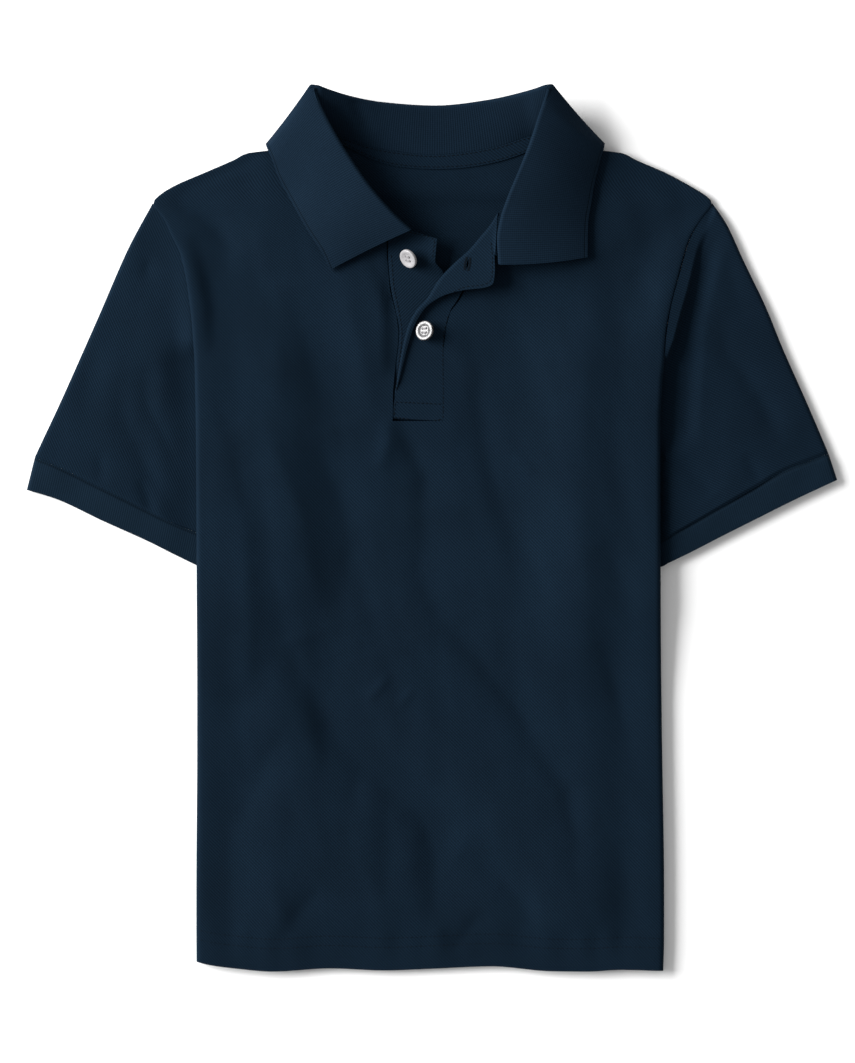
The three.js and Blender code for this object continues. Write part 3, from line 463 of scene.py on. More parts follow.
def shell(name, grid, thick, ring=False, flip=1, anchor=0, chart=None):
    """One closed shell of cloth from a grid of points in millimetres."""
    grid = grid.copy()
    grid[:, :, 2] = np.maximum(grid[:, :, 2], 0)
    rows, cols = grid.shape[:2]
    behind = grid - normals_of(grid, ring) * thick * flip
    behind[:, :, 2] = np.maximum(behind[:, :, 2], 0)
    for k in range(1, cols):
        same = np.linalg.norm(grid[:, k] - grid[:, k - 1], axis=1) < SAME_COLUMN
        behind[same, k] = behind[same, k - 1]
    points = np.concatenate([grid.reshape(-1, 3), behind.reshape(-1, 3)]) * MM
    uv = map_of(grid, anchor, ring) if chart is None else chart
    spans = cols if ring else cols - 1
    i, k = np.meshgrid(np.arange(rows - 1), np.arange(spans), indexing="ij")
    i, k = i.ravel(), k.ravel()

    def at(row, col, layer):
        return layer * rows * cols + row * cols + col % cols

    quads, places = [], []

    def add_faces(*corners, turned=False):
        """Faces with four corners, each a row, a column and a layer: 0 outer face, 1 inner."""
        turn = slice(None, None, -1 if turned else 1)
        quads.append(np.stack([at(*corner) for corner in corners], 1)[:, turn])
        places.append(np.stack([uv[row, col] for row, col, _ in corners], 1)[:, turn])

    add_faces((i, k, 0), (i, k + 1, 0), (i + 1, k + 1, 0), (i + 1, k, 0))
    add_faces((i, k, 1), (i + 1, k, 1), (i + 1, k + 1, 1), (i, k + 1, 1))
    n = np.arange(spans)
    for row, turned in ((0, False), (rows - 1, True)):
        add_faces((row, n, 0), (row, n, 1), (row, n + 1, 1), (row, n + 1, 0), turned=turned)
    if not ring:
        n = np.arange(rows - 1)
        for col, turned in ((0, False), (cols - 1, True)):
            add_faces((n, col, 0), (n + 1, col, 0), (n + 1, col, 1), (n, col, 1), turned=turned)
    return mesh_piece(name, points, np.concatenate(quads), np.concatenate(places))


def mesh_piece(name, points, quads, places):
    mesh = bpy.data.meshes.new(name)
    mesh.from_pydata(points.tolist(), [], quads.tolist())
    layer = mesh.uv_layers.new(name="cloth")
    layer.data.foreach_set("uv", places.reshape(-1))
    piece = bpy.data.objects.new(name, mesh)
    bpy.context.collection.objects.link(piece)
    tidy(piece)
    return piece


def tidy(piece):
    """Merges equal points, drops faces without area, and turns the shell's faces outwards."""
    work = bmesh.new()
    work.from_mesh(piece.data)
    bmesh.ops.remove_doubles(work, verts=work.verts, dist=MERGED_M)
    bmesh.ops.dissolve_degenerate(work, edges=work.edges, dist=NO_LENGTH_M)
    if work.calc_volume(signed=True) < 0:
        bmesh.ops.reverse_faces(work, faces=work.faces)
    for face in work.faces:
        face.smooth = True
    work.to_mesh(piece.data)
    work.free()
    piece.data.update()


def select_only(piece):
    bpy.ops.object.select_all(action="DESELECT")
    piece.select_set(True)
    bpy.context.view_layer.objects.active = piece


def soften(piece, degrees=50):
    """Smooth shading that keeps the cloth's cut rims crisp."""
    select_only(piece)
    bpy.ops.object.shade_smooth_by_angle(angle=math.radians(degrees))


def measure(piece):
    """Prints how many triangles a piece has."""
    faces = sum(len(p.vertices) - 2 for p in piece.data.polygons)
    print(f"{piece.name}: {faces} triangles")

# %% [markdown]
# ## Body panels
# A row of a panel runs from the side seam under the shirt, out to the folded edge, round it, over
# the top and round the other edge back to the other side seam. Above the place where the armhole
# goes under the body nothing is turned, so there those points fall together. The back is made by
# the same function, moved inside the front by one wall and a gap.

# %% Front and back panels
# Columns of points on the part turned under and round half of the folded edge.
UNDER_COLUMNS = 14
QUARTER_COLUMNS = 9
TOP_WIDTH = 268
SEAM_IN = 1.5


def stops_between(low, high, size):
    return np.linspace(low, high, max(2, int(round((high - low) / size)) + 1))


def panel_grid(inset, height, size):
    """Rows from the hem up, finer by the underarm and on the steep end of the shoulder."""
    y = np.concatenate([stops_between(HEM_Y, 80, size)[:-1], stops_between(80, UNDERARM_Y, 2.0)[:-1],
                        stops_between(UNDERARM_Y, 216, size)[:-1], stops_between(216, SHOULDER_Y, 1.0)])
    arc = np.radians(np.linspace(-90, 90, 2 * QUARTER_COLUMNS + 1))
    sides = []
    for inward, edge_name, mid_name in ((1, "left", "left_mid"), (-1, "right", "right_mid")):
        edge = body_at(edge_name, y)
        turn = np.interp(y, BODY[:, 0], BODY[:, BODY_COLUMNS.index("turn")])
        turned = y < UNDERARM_Y - 0.01
        centre = edge + inward * FOLD_ROUND
        crown = height(centre, y)
        mid = body_at(mid_name, y)
        tuck = inset
        if inset:
            mid = np.where(turned, mid, np.minimum(mid, crown - 0.4))
            tuck = inset + 0.6 * step(84, 93, y)
        low = body_at("base", y) + inset
        seam = edge + inward * (turn + SEAM_IN)
        columns = [(mix(seam, centre, t), low) for t in np.linspace(0, 1, UNDER_COLUMNS + 1)[:-1]]
        for angle in arc:
            x = centre - inward * (FOLD_ROUND - tuck) * math.cos(angle) ** FOLD_SQUARE
            reach = mid - low if angle < 0 else crown - mid
            rise = math.copysign(abs(math.sin(angle)) ** FOLD_SQUARE, angle)
            columns.append((x, mid + reach * rise))
        first = UNDER_COLUMNS + QUARTER_COLUMNS
        edge_x, edge_z = columns[first]
        below = [(np.where(turned, x, edge_x), np.where(turned, z, edge_z)) for x, z in columns[:first]]
        sides.append(below + columns[first:])
    start, end = body_at("left", y) + FOLD_ROUND, body_at("right", y) - FOLD_ROUND
    shares = np.linspace(0, 1, int(round(TOP_WIDTH / size)) + 1)[1:-1]
    columns = sides[0] + [(mix(start, end, t), None) for t in shares] + sides[1][::-1]
    grid = np.zeros((len(y), len(columns), 3))
    for n, (x, z) in enumerate(columns):
        grid[:, n, 0] = x
        grid[:, n, 1] = y + (hem_at(x) - HEM_Y) * (1 - step(HEM_Y, -205, y))
        grid[:, n, 2] = height(x, y) if z is None else z
    return grid


def cut_through(piece, outline, low=-10.0, high=60.0, solver="MANIFOLD"):
    """Cuts an outline, seen from above, out of a piece of cloth, from high down to low."""
    count = len(outline)
    points = [(x * MM, y * MM, z * MM) for z in (low, high) for x, y in outline]
    sides = [(n, (n + 1) % count, (n + 1) % count + count, n + count) for n in range(count)]
    mesh = bpy.data.meshes.new("cutter")
    mesh.from_pydata(points, [], [tuple(range(count))[::-1], tuple(range(count, 2 * count))] + sides)
    cutter = bpy.data.objects.new("cutter", mesh)
    bpy.context.collection.objects.link(cutter)
    select_only(cutter)
    bpy.ops.object.mode_set(mode="EDIT")
    bpy.ops.mesh.select_all(action="SELECT")
    bpy.ops.mesh.normals_make_consistent(inside=False)
    bpy.ops.object.mode_set(mode="OBJECT")
    select_only(piece)
    cut = piece.modifiers.new("cut", "BOOLEAN")
    cut.operation = "DIFFERENCE"
    cut.solver = solver
    cut.object = cutter
    bpy.ops.object.modifier_apply(modifier=cut.name)
    bpy.data.objects.remove(cutter)


FRONT_OPENING = [
    # down the left side of the neck and of the placket
    (-76, 250), (-75, 228), (-72, 218), (-60, 203), (-44, 190), (-26.6, 180), (-26.3, 160.2),
    (-24.6, 140), (-20.75, 124.6), (-19.55, 115.8), (-19.95, 107.3), (-21.15, 98), (-22.7, 81),
    (-22.95, 64), (-22.95, 63.34),
    # up the right side
    (6.38, 63.34), (6.38, 73.5), (6.68, 88), (6.68, 105), (8.35, 118), (10.6, 127), (16, 134),
    (21.4, 143.4), (26.2, 151.2), (31.4, 159), (39, 167), (48, 179), (58, 190), (69, 203),
    (77, 216), (79, 228), (80, 250),
]
BACK_NECK = [
    (-71, 229.5), (-52.1, 227.9), (-42.7, 224.1), (-31.6, 221.5), (-16.4, 219.2), (-5.3, 218.0),
    (9.4, 217.8), (21.1, 219.2), (35.7, 222.1), (46.8, 225.0), (56.7, 228.5), (73, 229.5),
    (73, 260), (-71, 260),
]

front_panel = shell("front_cloth", panel_grid(0, front_height, FINE), PIQUE, anchor=60)
cut_through(front_panel, FRONT_OPENING)
back_panel = shell("back_cloth", panel_grid(TURN_GAP, back_height, BACK_FINE), PIQUE, anchor=60)
cut_through(back_panel, BACK_NECK)
for piece in (front_panel, back_panel):
    soften(piece)
    measure(piece)

# %% [markdown]
# ## Sleeves and cuffs
# A sleeve is a flattened tube. Seen from above its front fills the space between four lines: the
# armhole, the cuff seam, the overarm edge and the underarm. A Coons patch stretches the grid
# between them, and the ring of points goes round both layers. Where the body lies on the sleeve
# it is pressed flat. On the right a strip of the sleeve stands out past the armhole seam before
# the cloth drops beside it.

# %% Table of the sleeves
# side: -1 on the left, 1 on the right. stands_out: a strip stays up past the armhole seam. closer:
# how far the armhole line is moved towards the body, so that no gap shows. drop: the length over
# which the sleeve comes down from the seam's height.
SLEEVES = {
    "left": {
        "side": -1, "stands_out": False, "closer": 0.15, "drop": 26,
        "armhole": [(-163.6, 190.6), (-157.4, 182.4), (-152.4, 171.1), (-147.1, 160.6), (-144.2, 147.1),
                    (-141.9, 133.7), (-140.4, 118), (-139.6, 111), (-137.2, 104), (-133.5, 95), (-126, 83),
                    (-114, 74), (-99.4, 69.9)],
        "cuff_seam": [(-232.2, 43.4), (-218.8, 37.9), (-196.3, 26.8), (-182.5, 20.1), (-153.3, 5.6),
                      (-139.8, 0.1), (-117.6, -8.6)],
        "overarm": [(-163.6, 190.6), (-177.3, 164.7), (-196, 122), (-218.2, 72.2), (-227, 53.5),
                    (-232.2, 43.4)],
        "cuff_edge": [(-236.9, 23.1), (-218.2, 17.3), (-193.6, 5.6), (-165, -7.3), (-153.3, -13.2),
                      (-137.8, -20.8), (-121.7, -27.8)],
    },
    "right": {
        "side": 1, "stands_out": True, "closer": 0.5, "drop": 3.3,
        "armhole": [(164.6, 190.6), (158.7, 182.4), (151.9, 171.2), (145.6, 151), (140.1, 130.4),
                    (137.2, 112.8), (136.4, 103), (135.8, 97.5), (132.6, 91), (126, 83), (113, 72.5),
                    (96.5, 67)],
        "cuff_seam": [(231.9, 45.4), (204.8, 34.8), (187.8, 24.9), (168.5, 13.8), (150.9, 3.8),
                      (134, -5.1), (117.8, -11.3)],
        "overarm": [(164.4, 190.6), (172, 178.9), (182.5, 156.5), (195.4, 129.6), (204.8, 106.5),
                    (220, 72.2), (231.9, 45.4)],
        "cuff_edge": [(236.9, 29), (211.8, 17.3), (188.4, 5.6), (168.5, -4.4), (150.9, -13.5),
                      (133.4, -21.9), (124, -26.6)],
    },
}
STRIP = np.array([
    # y of the seam, width of the strip of sleeve that stands out before it drops
    (86, 0), (93, 0.2), (103, 3.4), (120, 8.2), (141, 9.2), (165, 7.6), (185, 3.0), (191, 0.4),
])
# Heights of a sleeve and a cuff where they are free and where the body presses them flat, of the
# hollow below the right strip, and of the middle of a round edge.
SLEEVE_RISE = 4.6
CUFF_RISE = 5.0
TUCKED_RISE = 2.6
TUCKED_CUFF_RISE = 3.7
HOLLOW_RISE = 2.7
EDGE_MIDDLE = 2.6
SLEEVE_ROUND = 2.5
CUFF_ROUND = 2.4

# The cuff's seam: how far it lies below the line in the table, the gap in it, and how deep the
# cloth sinks into it, as a share of its height.
SEAM_CLOSE = 1.1
SEAM_GAP = 0.12
SEAM_SINK = 0.14
SLEEVE_LONGEST = 150.0

# %% Sleeves and cuffs
def line_through(points, count=160):
    """Points evenly spaced along a centripetal Catmull-Rom curve."""
    p = np.array(points, float)
    if len(p) == 2:
        dense = np.stack([mix(p[0], p[1], t) for t in np.linspace(0, 1, count)])
    else:
        p = np.vstack([2 * p[0] - p[1], p, 2 * p[-1] - p[-2]])
        dense = []
        for a, b, c, d in zip(p, p[1:], p[2:], p[3:]):
            k0, k1, k2 = (max(1e-6, np.linalg.norm(v) ** 0.5) for v in (b - a, c - b, d - c))
            m1 = (b - a) / k0 - (c - a) / (k0 + k1) + (c - b) / k1
            m2 = (c - b) / k1 - (d - b) / (k1 + k2) + (d - c) / k2
            dense += [hermite(t, b, c, k1, m1, m2) for t in np.linspace(0, 1, 24)[:-1]]
        dense = np.array(dense + [p[-2]])
    gone = np.concatenate([[0], np.cumsum(np.linalg.norm(np.diff(dense, axis=0), axis=1))])
    return dense, gone / gone[-1]


def on_line(line, t):
    """The place at a share of the way along a line."""
    dense, gone = line
    return np.stack([np.interp(t, gone, dense[:, n]) for n in range(dense.shape[1])], axis=-1)


def patch(edges, s, t):
    """A Coons patch: s runs from the start to the end line, t from the outer one to the one under."""
    start, end, outer, under = edges
    s, t = np.broadcast_arrays(s, t)
    a, b = s[..., None], t[..., None]
    point = ((1 - a) * on_line(start, t) + a * on_line(end, t)
             + (1 - b) * on_line(outer, s) + b * on_line(under, s))
    for line, at, weight in ((start, 0.0, (1 - a) * (1 - b)), (start, 1.0, (1 - a) * b),
                             (end, 0.0, a * (1 - b)), (end, 1.0, a * b)):
        point = point - weight * on_line(line, np.array(at))
    return point


def tucked(x, y, side, free, low):
    """The free height outside the body, and the low one where the body lies on the sleeve."""
    if side < 0:
        return mix(free, low, step(-24, -3, x - body_at("left", y)) * (1 - step(97, 112, y)))
    edge = body_at("right", y) - x
    near = mix(step(-3, -0.8, edge), step(-18, -4, edge), step(40, 60, y))
    return mix(free, low, near * (1 - step(91, 103, y)))


def tube_grid(edges, s, size, round_edge, height):
    """A ring of points for each s: front layer, underarm edge, back layer, overarm edge."""
    width = np.linalg.norm(patch(edges, s, np.zeros_like(s)) - patch(edges, s, np.ones_like(s)), axis=1)
    angles = np.radians(np.linspace(0, 90, 7))
    front = np.linspace(0, 1, int(width.max() / size))[1:-1]
    back = np.linspace(0, 1, int(width.max() / (2.5 * size)))[1:-1]
    corner = [(round_edge * (1 - math.cos(a)) / width, math.sin(a)) for a in angles]
    inner = 1 - 2 * round_edge / width
    ring = [(t, lift, 1) for t, lift in corner]
    ring += [(round_edge / width + inner * f, 1.0, 1) for f in front]
    ring += [(1 - t, lift, 1) for t, lift in corner[::-1]]
    ring += [(1 - t, lift, -1) for t, lift in corner[1:]]
    ring += [(round_edge / width + inner * f, 1.0, -1) for f in back[::-1]]
    ring += [(t, lift, -1) for t, lift in corner[::-1][:-1]]
    grid = np.zeros((len(s), len(ring), 3))
    for n, (t, lift, face) in enumerate(ring):
        point = patch(edges, s, t)
        top = height(point[:, 0], point[:, 1], s, t)
        middle = np.minimum(top / 2, EDGE_MIDDLE)
        grid[:, n, :2] = point
        grid[:, n, 2] = mix(middle, top if face > 0 else 0, lift)
    return grid


def sleeve_grid(name):
    shape = SLEEVES[name]
    armhole = np.array(shape["armhole"])
    armhole[:, 0] -= shape["closer"] * shape["side"]
    start = line_through(armhole)
    seam_line = np.array(shape["cuff_seam"])
    seam_line[:, 1] -= SEAM_CLOSE
    end = line_through(seam_line)
    overarm = np.array(shape["overarm"])
    overarm[0], overarm[-1] = armhole[0], seam_line[0]
    edges = (start, end, line_through(overarm), line_through([armhole[-1], seam_line[-1]]))

    def height(x, y, s, t):
        seam = on_line(start, np.broadcast_to(t, s.shape))
        length = np.linalg.norm(seam - on_line(end, np.broadcast_to(t, s.shape)), axis=1)
        strip = through(seam[:, 1], STRIP[:, 0], STRIP[:, 1]) if shape["stands_out"] else 0.0
        fall = step(0, 1, (s * length - strip - 0.2) / shape["drop"])
        swell = SLEEVE_RISE + 1.2 * np.sin(math.pi * t) * step(0, 0.4, s)
        swell = swell + folded(x, y, SLEEVE_FOLDS[name]) + 0.2 * value_noise(x / 11, y / 30, 21)
        if shape["stands_out"]:
            outside = x - body_at("right", y)
            deep = (1 - step(13, 24, outside)) * step(44, 66, y) * (1 - step(150, 180, y))
            swell = mix(swell, HOLLOW_RISE, deep)
        swell = kept_above(TUCKED_RISE, swell, 0.2)
        if shape["side"] < 0:
            at_seam = body_at("left_mid", seam[:, 1]) - 0.2
            seen = step(UNDERARM_Y, 108, seam[:, 1])
        else:
            at_seam = body_at("top", seam[:, 1]) - 0.6
            seen = step(91, UNDERARM_Y, seam[:, 1])
        free = mix(mix(swell, at_seam, seen), swell, fall)
        rolled = 1 - SEAM_SINK * step(1 - 2.2 / SLEEVE_LONGEST, 1, s)
        return tucked(x, y, shape["side"], free, TUCKED_RISE) * rolled

    # Rows of points are closer together near the armhole and near the cuff.
    armhole_end, cuff_start = 16 / SLEEVE_LONGEST, 1 - 3.2 / SLEEVE_LONGEST
    s = np.concatenate([np.linspace(0, armhole_end, 17)[:-1],
                        np.linspace(armhole_end, cuff_start, int(SLEEVE_LONGEST / FINE))[:-1],
                        np.linspace(cuff_start, 1, 6)])
    return tube_grid(edges, s, FINE, SLEEVE_ROUND, height)


def cuff_grid(name):
    shape = SLEEVES[name]
    top = np.array(shape["cuff_seam"])
    top[:, 1] -= SEAM_CLOSE + SEAM_GAP
    edge = shape["cuff_edge"]
    edges = (line_through(top), line_through(edge),
             line_through([top[0], edge[0]]), line_through([top[-1], edge[-1]]))

    def height(x, y, s, t):
        wave = 0.25 * np.sin(x / 5.1 + 1.3 * np.sin(x / 19.0)) * (1 - step(0.2, 1.0, s))
        rolled = 1 - SEAM_SINK * (1 - step(0, 0.12, s))
        return tucked(x, y, shape["side"], CUFF_RISE + wave, TUCKED_CUFF_RISE) * rolled

    s = np.concatenate([[0, 0.03, 0.06, 0.1], np.linspace(0.16, 1, 10)])
    return tube_grid(edges, s, FINE, CUFF_ROUND, height)


sleeves, cuffs = {}, {}
for name, shape in SLEEVES.items():
    tube = sleeve_grid(name)
    sleeves[name] = shell(f"sleeve_cloth_{name}", tube, PIQUE, ring=True, flip=shape["side"],
                          chart=plan_map(tube, 20 * shape["side"]))
    cuffs[name] = shell(f"cuff_knit_{name}", cuff_grid(name), CUFF_RIB, ring=True, flip=shape["side"])
    for piece in (sleeves[name], cuffs[name]):
        soften(piece)
        measure(piece)

# %% [markdown]
# ## Collar
# The collar is one knitted band, sewn to the neckline along one edge and folded over. Each
# station of the table gives the seam, a point that bulges the stand, the fold, and the middle
# and the edge of the fall. At the back the fall lies under the stand, and at the two peaks it
# goes round the end of the shoulder.

# %% Table of the collar
COLLAR = np.array([
    # neck x, y, z, bulge x, y, z, fold x, y, z, middle x, y, z, edge x, y, z
    (-13.0, 176.4, 9.6, -22, 171.5, 9.5, -12.0, 174.8, 17.0, -35, 164.0, 12.6, -59.7, 151.3, 10.2),
    (-27, 182.5, 9.0, -28, 180.0, 10.5, -19.9, 181.6, 18.8, -41.5, 172.2, 14.6, -64.1, 161.1, 10.4),
    (-44, 191.5, 8.2, -42, 192, 12, -33.3, 196.3, 20.8, -52.5, 186.7, 16.6, -73.0, 175.0, 9.6),
    (-60, 204.5, 8.2, -56, 207, 14, -46.8, 215.0, 23.0, -65.4, 204.3, 17.6, -82.4, 192.0, 8.6),
    (-69, 216, 8.2, -65, 221, 16, -57.6, 232.5, 25.0, -74.3, 220.3, 18.8, -89.7, 205.6, 10.4),
    (-72, 224, 8.2, -69, 232, 18, -64.9, 246.6, 26.0, -80, 232.5, 20.0, -93.4, 216.0, 12.0),
    (-71, 226.5, 8.0, -69.5, 235.5, 18.6, -67.2, 252.5, 26.3, -82.6, 236.6, 19.6, -95.9, 221.7, 11.6),
    (-70, 228.5, 7.8, -69.5, 238, 19, -69.0, 258.0, 26.6, -84.5, 240.0, 15.6, -97.2, 225.2, 5.2),
    (-67, 229.8, 7.4, -66.5, 239, 18.5, -66.0, 257.6, 26.5, -82, 239.5, 6, -96.2, 224.2, 0.3),
    (-62, 230.8, 7.0, -61, 240, 17, -60.5, 255.8, 23.5, -75, 238.5, 0.8, -90.0, 214.0, 0.1),
    (-52.1, 229.2, 6.0, -51, 238, 11, -48.5, 252.4, 18.0, -60, 233, 0.9, -73.0, 207.0, 0.1),
    (-31.6, 222.8, 5.0, -30.5, 235, 8.4, -29.0, 249.0, 12.5, -36, 230, 0.4, -42.0, 204.6, 0.1),
    (1.8, 219.1, 4.8, 2, 233, 7.2, 2.0, 247.2, 10.0, 2, 228, 0.2, 2.0, 203.3, 0.1),
    (35.7, 223.4, 5.0, 34, 235.5, 8.4, 32.0, 250.2, 12.5, 40, 231, 0.4, 46.0, 204.6, 0.1),
    (56.0, 229.7, 6.0, 55, 238, 11, 50.0, 253.6, 18.0, 63, 233.5, 0.9, 77.0, 207.0, 0.1),
    (64, 231, 7.0, 62.5, 240, 17, 60.0, 256.0, 23.5, 77, 239.0, 0.8, 93.5, 215.0, 0.1),
    (70, 230, 7.4, 68, 239, 18.5, 65.5, 257.7, 26.5, 84, 240, 6, 99.6, 224.8, 0.3),
    (74, 229.5, 7.8, 71.5, 239, 19, 68.3, 258.0, 27.5, 86.0, 240.5, 15, 101.0, 225.6, 4.2),
    (75, 227, 8.2, 71.3, 235, 18.6, 65.6, 250, 27.3, 84.3, 236.3, 19, 100.3, 222.2, 9.0),
    (76, 224, 8.4, 71, 230, 18, 62.6, 241.9, 27.0, 82, 231.5, 21.5, 98.9, 218.0, 9.2),
    (72, 214, 8.6, 67, 219, 16, 56.5, 223.8, 25.0, 77, 217.5, 21.0, 96.8, 210.0, 9.4),
    (64, 202, 8.8, 60, 206, 14, 50.9, 209.7, 22.5, 73, 205, 19.8, 94.6, 201.0, 9.4),
    (54, 191, 8.8, 52, 194, 12, 43.9, 192.8, 20.0, 68, 191, 18.4, 92.8, 190.0, 9.4),
    (46, 180, 8.8, 48, 182, 11.5, 39.8, 180.5, 18.0, 66, 180, 17.3, 91.2, 180.0, 9.6),
    (41.6, 171, 8.8, 47, 170, 11.2, 37.9, 168.5, 16.5, 64.5, 168.5, 16.4, 90.8, 169.5, 9.8),
    (41.2, 157.5, 8.8, 48, 157, 11, 38.6, 154.7, 15.5, 64, 155.0, 15.6, 90.7, 158.8, 10.0),
])
# Radius of its fold, and the columns of points up the stand, round the fold and down the fall.
COLLAR_ROUND = 1.9
STAND_COLUMNS, ROUND_COLUMNS, FALL_COLUMNS = 11, 11, 19
# A crease in the stand by its left peak, its depth and its width.
STAND_CREASE = [(-47.8, 254), (-43, 244), (-36, 231)]
STAND_CREASE_DEEP = 2.2
STAND_CREASE_WIDE = 2.8

# %% Collar
def unit(vectors):
    return vectors / np.maximum(np.linalg.norm(vectors, axis=-1, keepdims=True), 1e-9)


def collar_grid(per_span=7):
    """Rows round the neck, columns from the neck seam up the stand and down the fall."""
    stations = np.arange(len(COLLAR))
    at = np.linspace(0, len(COLLAR) - 1, (len(COLLAR) - 1) * per_span + 1)
    rows = np.stack([through(at, stations, column) for column in COLLAR.T], axis=1)
    neck, bulge, fold, middle, edge = np.split(rows, 5, axis=1)
    to_stand, to_fall = unit(bulge - fold), unit(middle - fold)
    apex = -unit(to_stand + to_fall)
    cross = to_fall - to_stand
    cross = unit(cross - np.sum(cross * apex, axis=1, keepdims=True) * apex)
    centre = fold - apex * COLLAR_ROUND
    arc = [centre + COLLAR_ROUND * (apex * math.cos(a) + cross * math.sin(a))
           for a in np.radians(np.linspace(-80, 80, ROUND_COLUMNS))]
    columns = [(1 - t) ** 2 * neck + 2 * t * (1 - t) * bulge + t * t * arc[0]
               for t in np.linspace(0, 1, STAND_COLUMNS + 1)[:-1]]
    columns += arc
    columns += [bend(arc[-1], middle, edge, t) for t in np.linspace(0, 1, FALL_COLUMNS + 1)[1:]]
    return np.stack(columns, axis=1)


def bend(start, middle, end, t):
    """A curve through three points, the middle one at its own share of the way."""
    first, second = np.linalg.norm(middle - start, axis=1), np.linalg.norm(end - middle, axis=1)
    share = (first / (first + second))[:, None]
    a = (t - share) * (t - 1) / share
    b = t * (t - 1) / (share * (share - 1))
    c = t * (t - share) / (1 - share)
    return a * start + b * middle + c * end


collar_points = collar_grid()
stand = collar_points[:, :STAND_COLUMNS + 1]
off, along = from_path(stand[:, :, 0], stand[:, :, 1], STAND_CREASE)
taper = np.sin(math.pi * np.clip(along, 0, 1))
stand[:, :, 2] -= STAND_CREASE_DEEP * taper * np.exp(-(off / STAND_CREASE_WIDE) ** 2)

# The knit's map: lengths along the crest of the fold, and up from the fall's edge.
crest = collar_points[:, STAND_COLUMNS + ROUND_COLUMNS // 2]
round_neck = np.concatenate([[0], np.cumsum(np.linalg.norm(np.diff(crest, axis=0), axis=1))])
lengths = np.linalg.norm(np.diff(collar_points, axis=1), axis=2)
from_fall = np.concatenate([np.cumsum(lengths[:, ::-1], axis=1)[:, ::-1], np.zeros((len(lengths), 1))], 1)
collar_chart = np.stack([np.broadcast_to(round_neck[:, None], from_fall.shape), from_fall], axis=2) * MM
collar = shell("collar_knit", collar_points, RIB, flip=-1, chart=collar_chart)
soften(collar)
measure(collar)

# %% [markdown]
# ## Tape and plackets
# A tape covers the seam at the back of the neck. Below the collar the opening has two plackets:
# the under one carries the top button, and the upper one, which carries the buttonhole, is
# folded back on itself at the top.

# %% Tables of tape and plackets
TAPE_EDGE = np.array([
    (-56, 226.8), (-48, 222.7), (-40, 218.6), (-31.6, 215.0), (-20.5, 212.1), (-9.1, 210.9),
    (2.3, 210.5), (13.5, 210.9), (24.6, 212.1), (35.7, 214.2), (46.8, 217.3), (53.8, 219.9),
    (60, 222.6),
])
PLACKET_UNDER = np.array([
    # left x, y, right x, y, rise
    (-25.7, 178.6, 2.9, 169.5, 7.4), (-25.7, 169, 2.4, 163.5, 6.8), (-25.6, 160.2, 1.8, 156.5, 6.2),
    (-25.0, 150, 6.6, 149.5, 5.6), (-23.8, 140, 6.2, 139, 5.2), (-20.6, 124.6, 5.9, 124, 5.0),
    (-19.4, 115.8, 5.9, 115, 5.0), (-19.8, 107.3, 5.9, 107, 5.0), (-20.9, 98, 5.8, 98, 5.0),
    (-22.4, 81, 5.7, 81, 4.6), (-22.7, 64, 5.6, 63.4, 4.4),
])
PLACKET_UPPER = [
    # seam, turned edge, free edge of the part folded back, rise, round of the fold
    ((6.3, 63.4), (-22.9, 64.9), None, 5.35, 2.2),
    ((6.3, 73.5), (-22.1, 74.5), None, 5.35, 2.2),
    ((6.6, 88), (-20.4, 88), (-18.7, 88.2), 5.35, 1.25),
    ((6.6, 105), (-17.4, 105), (-14.6, 105.3), 5.35, 1.5),
    ((8.2, 118), (-14.2, 118), (-10.4, 118.6), 5.35, 1.9),
    ((10.4, 127), (-9.8, 127), (-3.0, 130), 5.45, 2.2),
    ((15.0, 134.4), (-3.2, 134.3), (8.5, 137.0), 5.8, 2.4),
    ((20.2, 144), (4.5, 146.5), (19.5, 139.6), 6.4, 2.6),
    ((25.2, 152.2), (13.0, 155.3), (30.5, 140.8), 7.0, 2.7),
    ((30.0, 160), (22.0, 163.4), (35.6, 143.4), 7.6, 2.7),
    ((33, 166.5), (28.6, 171.3), (36.6, 152), 8.2, 2.6),
    ((34.4, 171.5), (33.4, 176.8), (36.3, 161), 8.6, 2.5),
    ((37.2, 175.5), (38.4, 184.6), (36.7, 159.5), 9.0, 2.4),
]
# No part of the upper placket comes lower than this, or it would pass through the under one.
UPPER_LOWEST = 5.3
# How much the folded-back part springs up for each millimetre of its width, and how much the
# under placket's right side does at the top.
FLAP_SPRING = 0.15
UNDER_SPRING = 4.0

# %% Tape and plackets
def between_rows(lists, per_span):
    """Smooth rows between a few rows of points."""
    lists = np.array(lists, float)
    keys = np.arange(len(lists))
    at = np.linspace(0, len(lists) - 1, (len(lists) - 1) * per_span + 1)
    grid = np.zeros((len(at),) + lists.shape[1:])
    for k in range(lists.shape[1]):
        for axis in range(3):
            grid[:, k, axis] = through(at, keys, lists[:, k, axis])
    return grid


def stand_line(x):
    """Where the lower edge of the collar's stand runs at the back: its y and its height."""
    back = collar_points[:, 0][(collar_points[:, 0, 1] > 218) & (np.abs(collar_points[:, 0, 0]) < 62)]
    back = back[np.argsort(back[:, 0])]
    return np.interp(x, back[:, 0], back[:, 1]) - 0.1, np.interp(x, back[:, 0], back[:, 2]) - 0.2


def tape_grid():
    x = np.linspace(TAPE_EDGE[0, 0], TAPE_EDGE[-1, 0], 60)
    low = through(x, TAPE_EDGE[:, 0], TAPE_EDGE[:, 1])
    high, meets = stand_line(x)
    columns = []
    for t in np.linspace(0, 1, 7):
        y = mix(low, high, t)
        rise = np.maximum(mix(back_height(x, low) + TAPE, meets, t), back_height(x, y) + TAPE + LAYER_GAP)
        columns.append(np.stack([x, y, rise], axis=1))
    return np.stack(columns, axis=1)


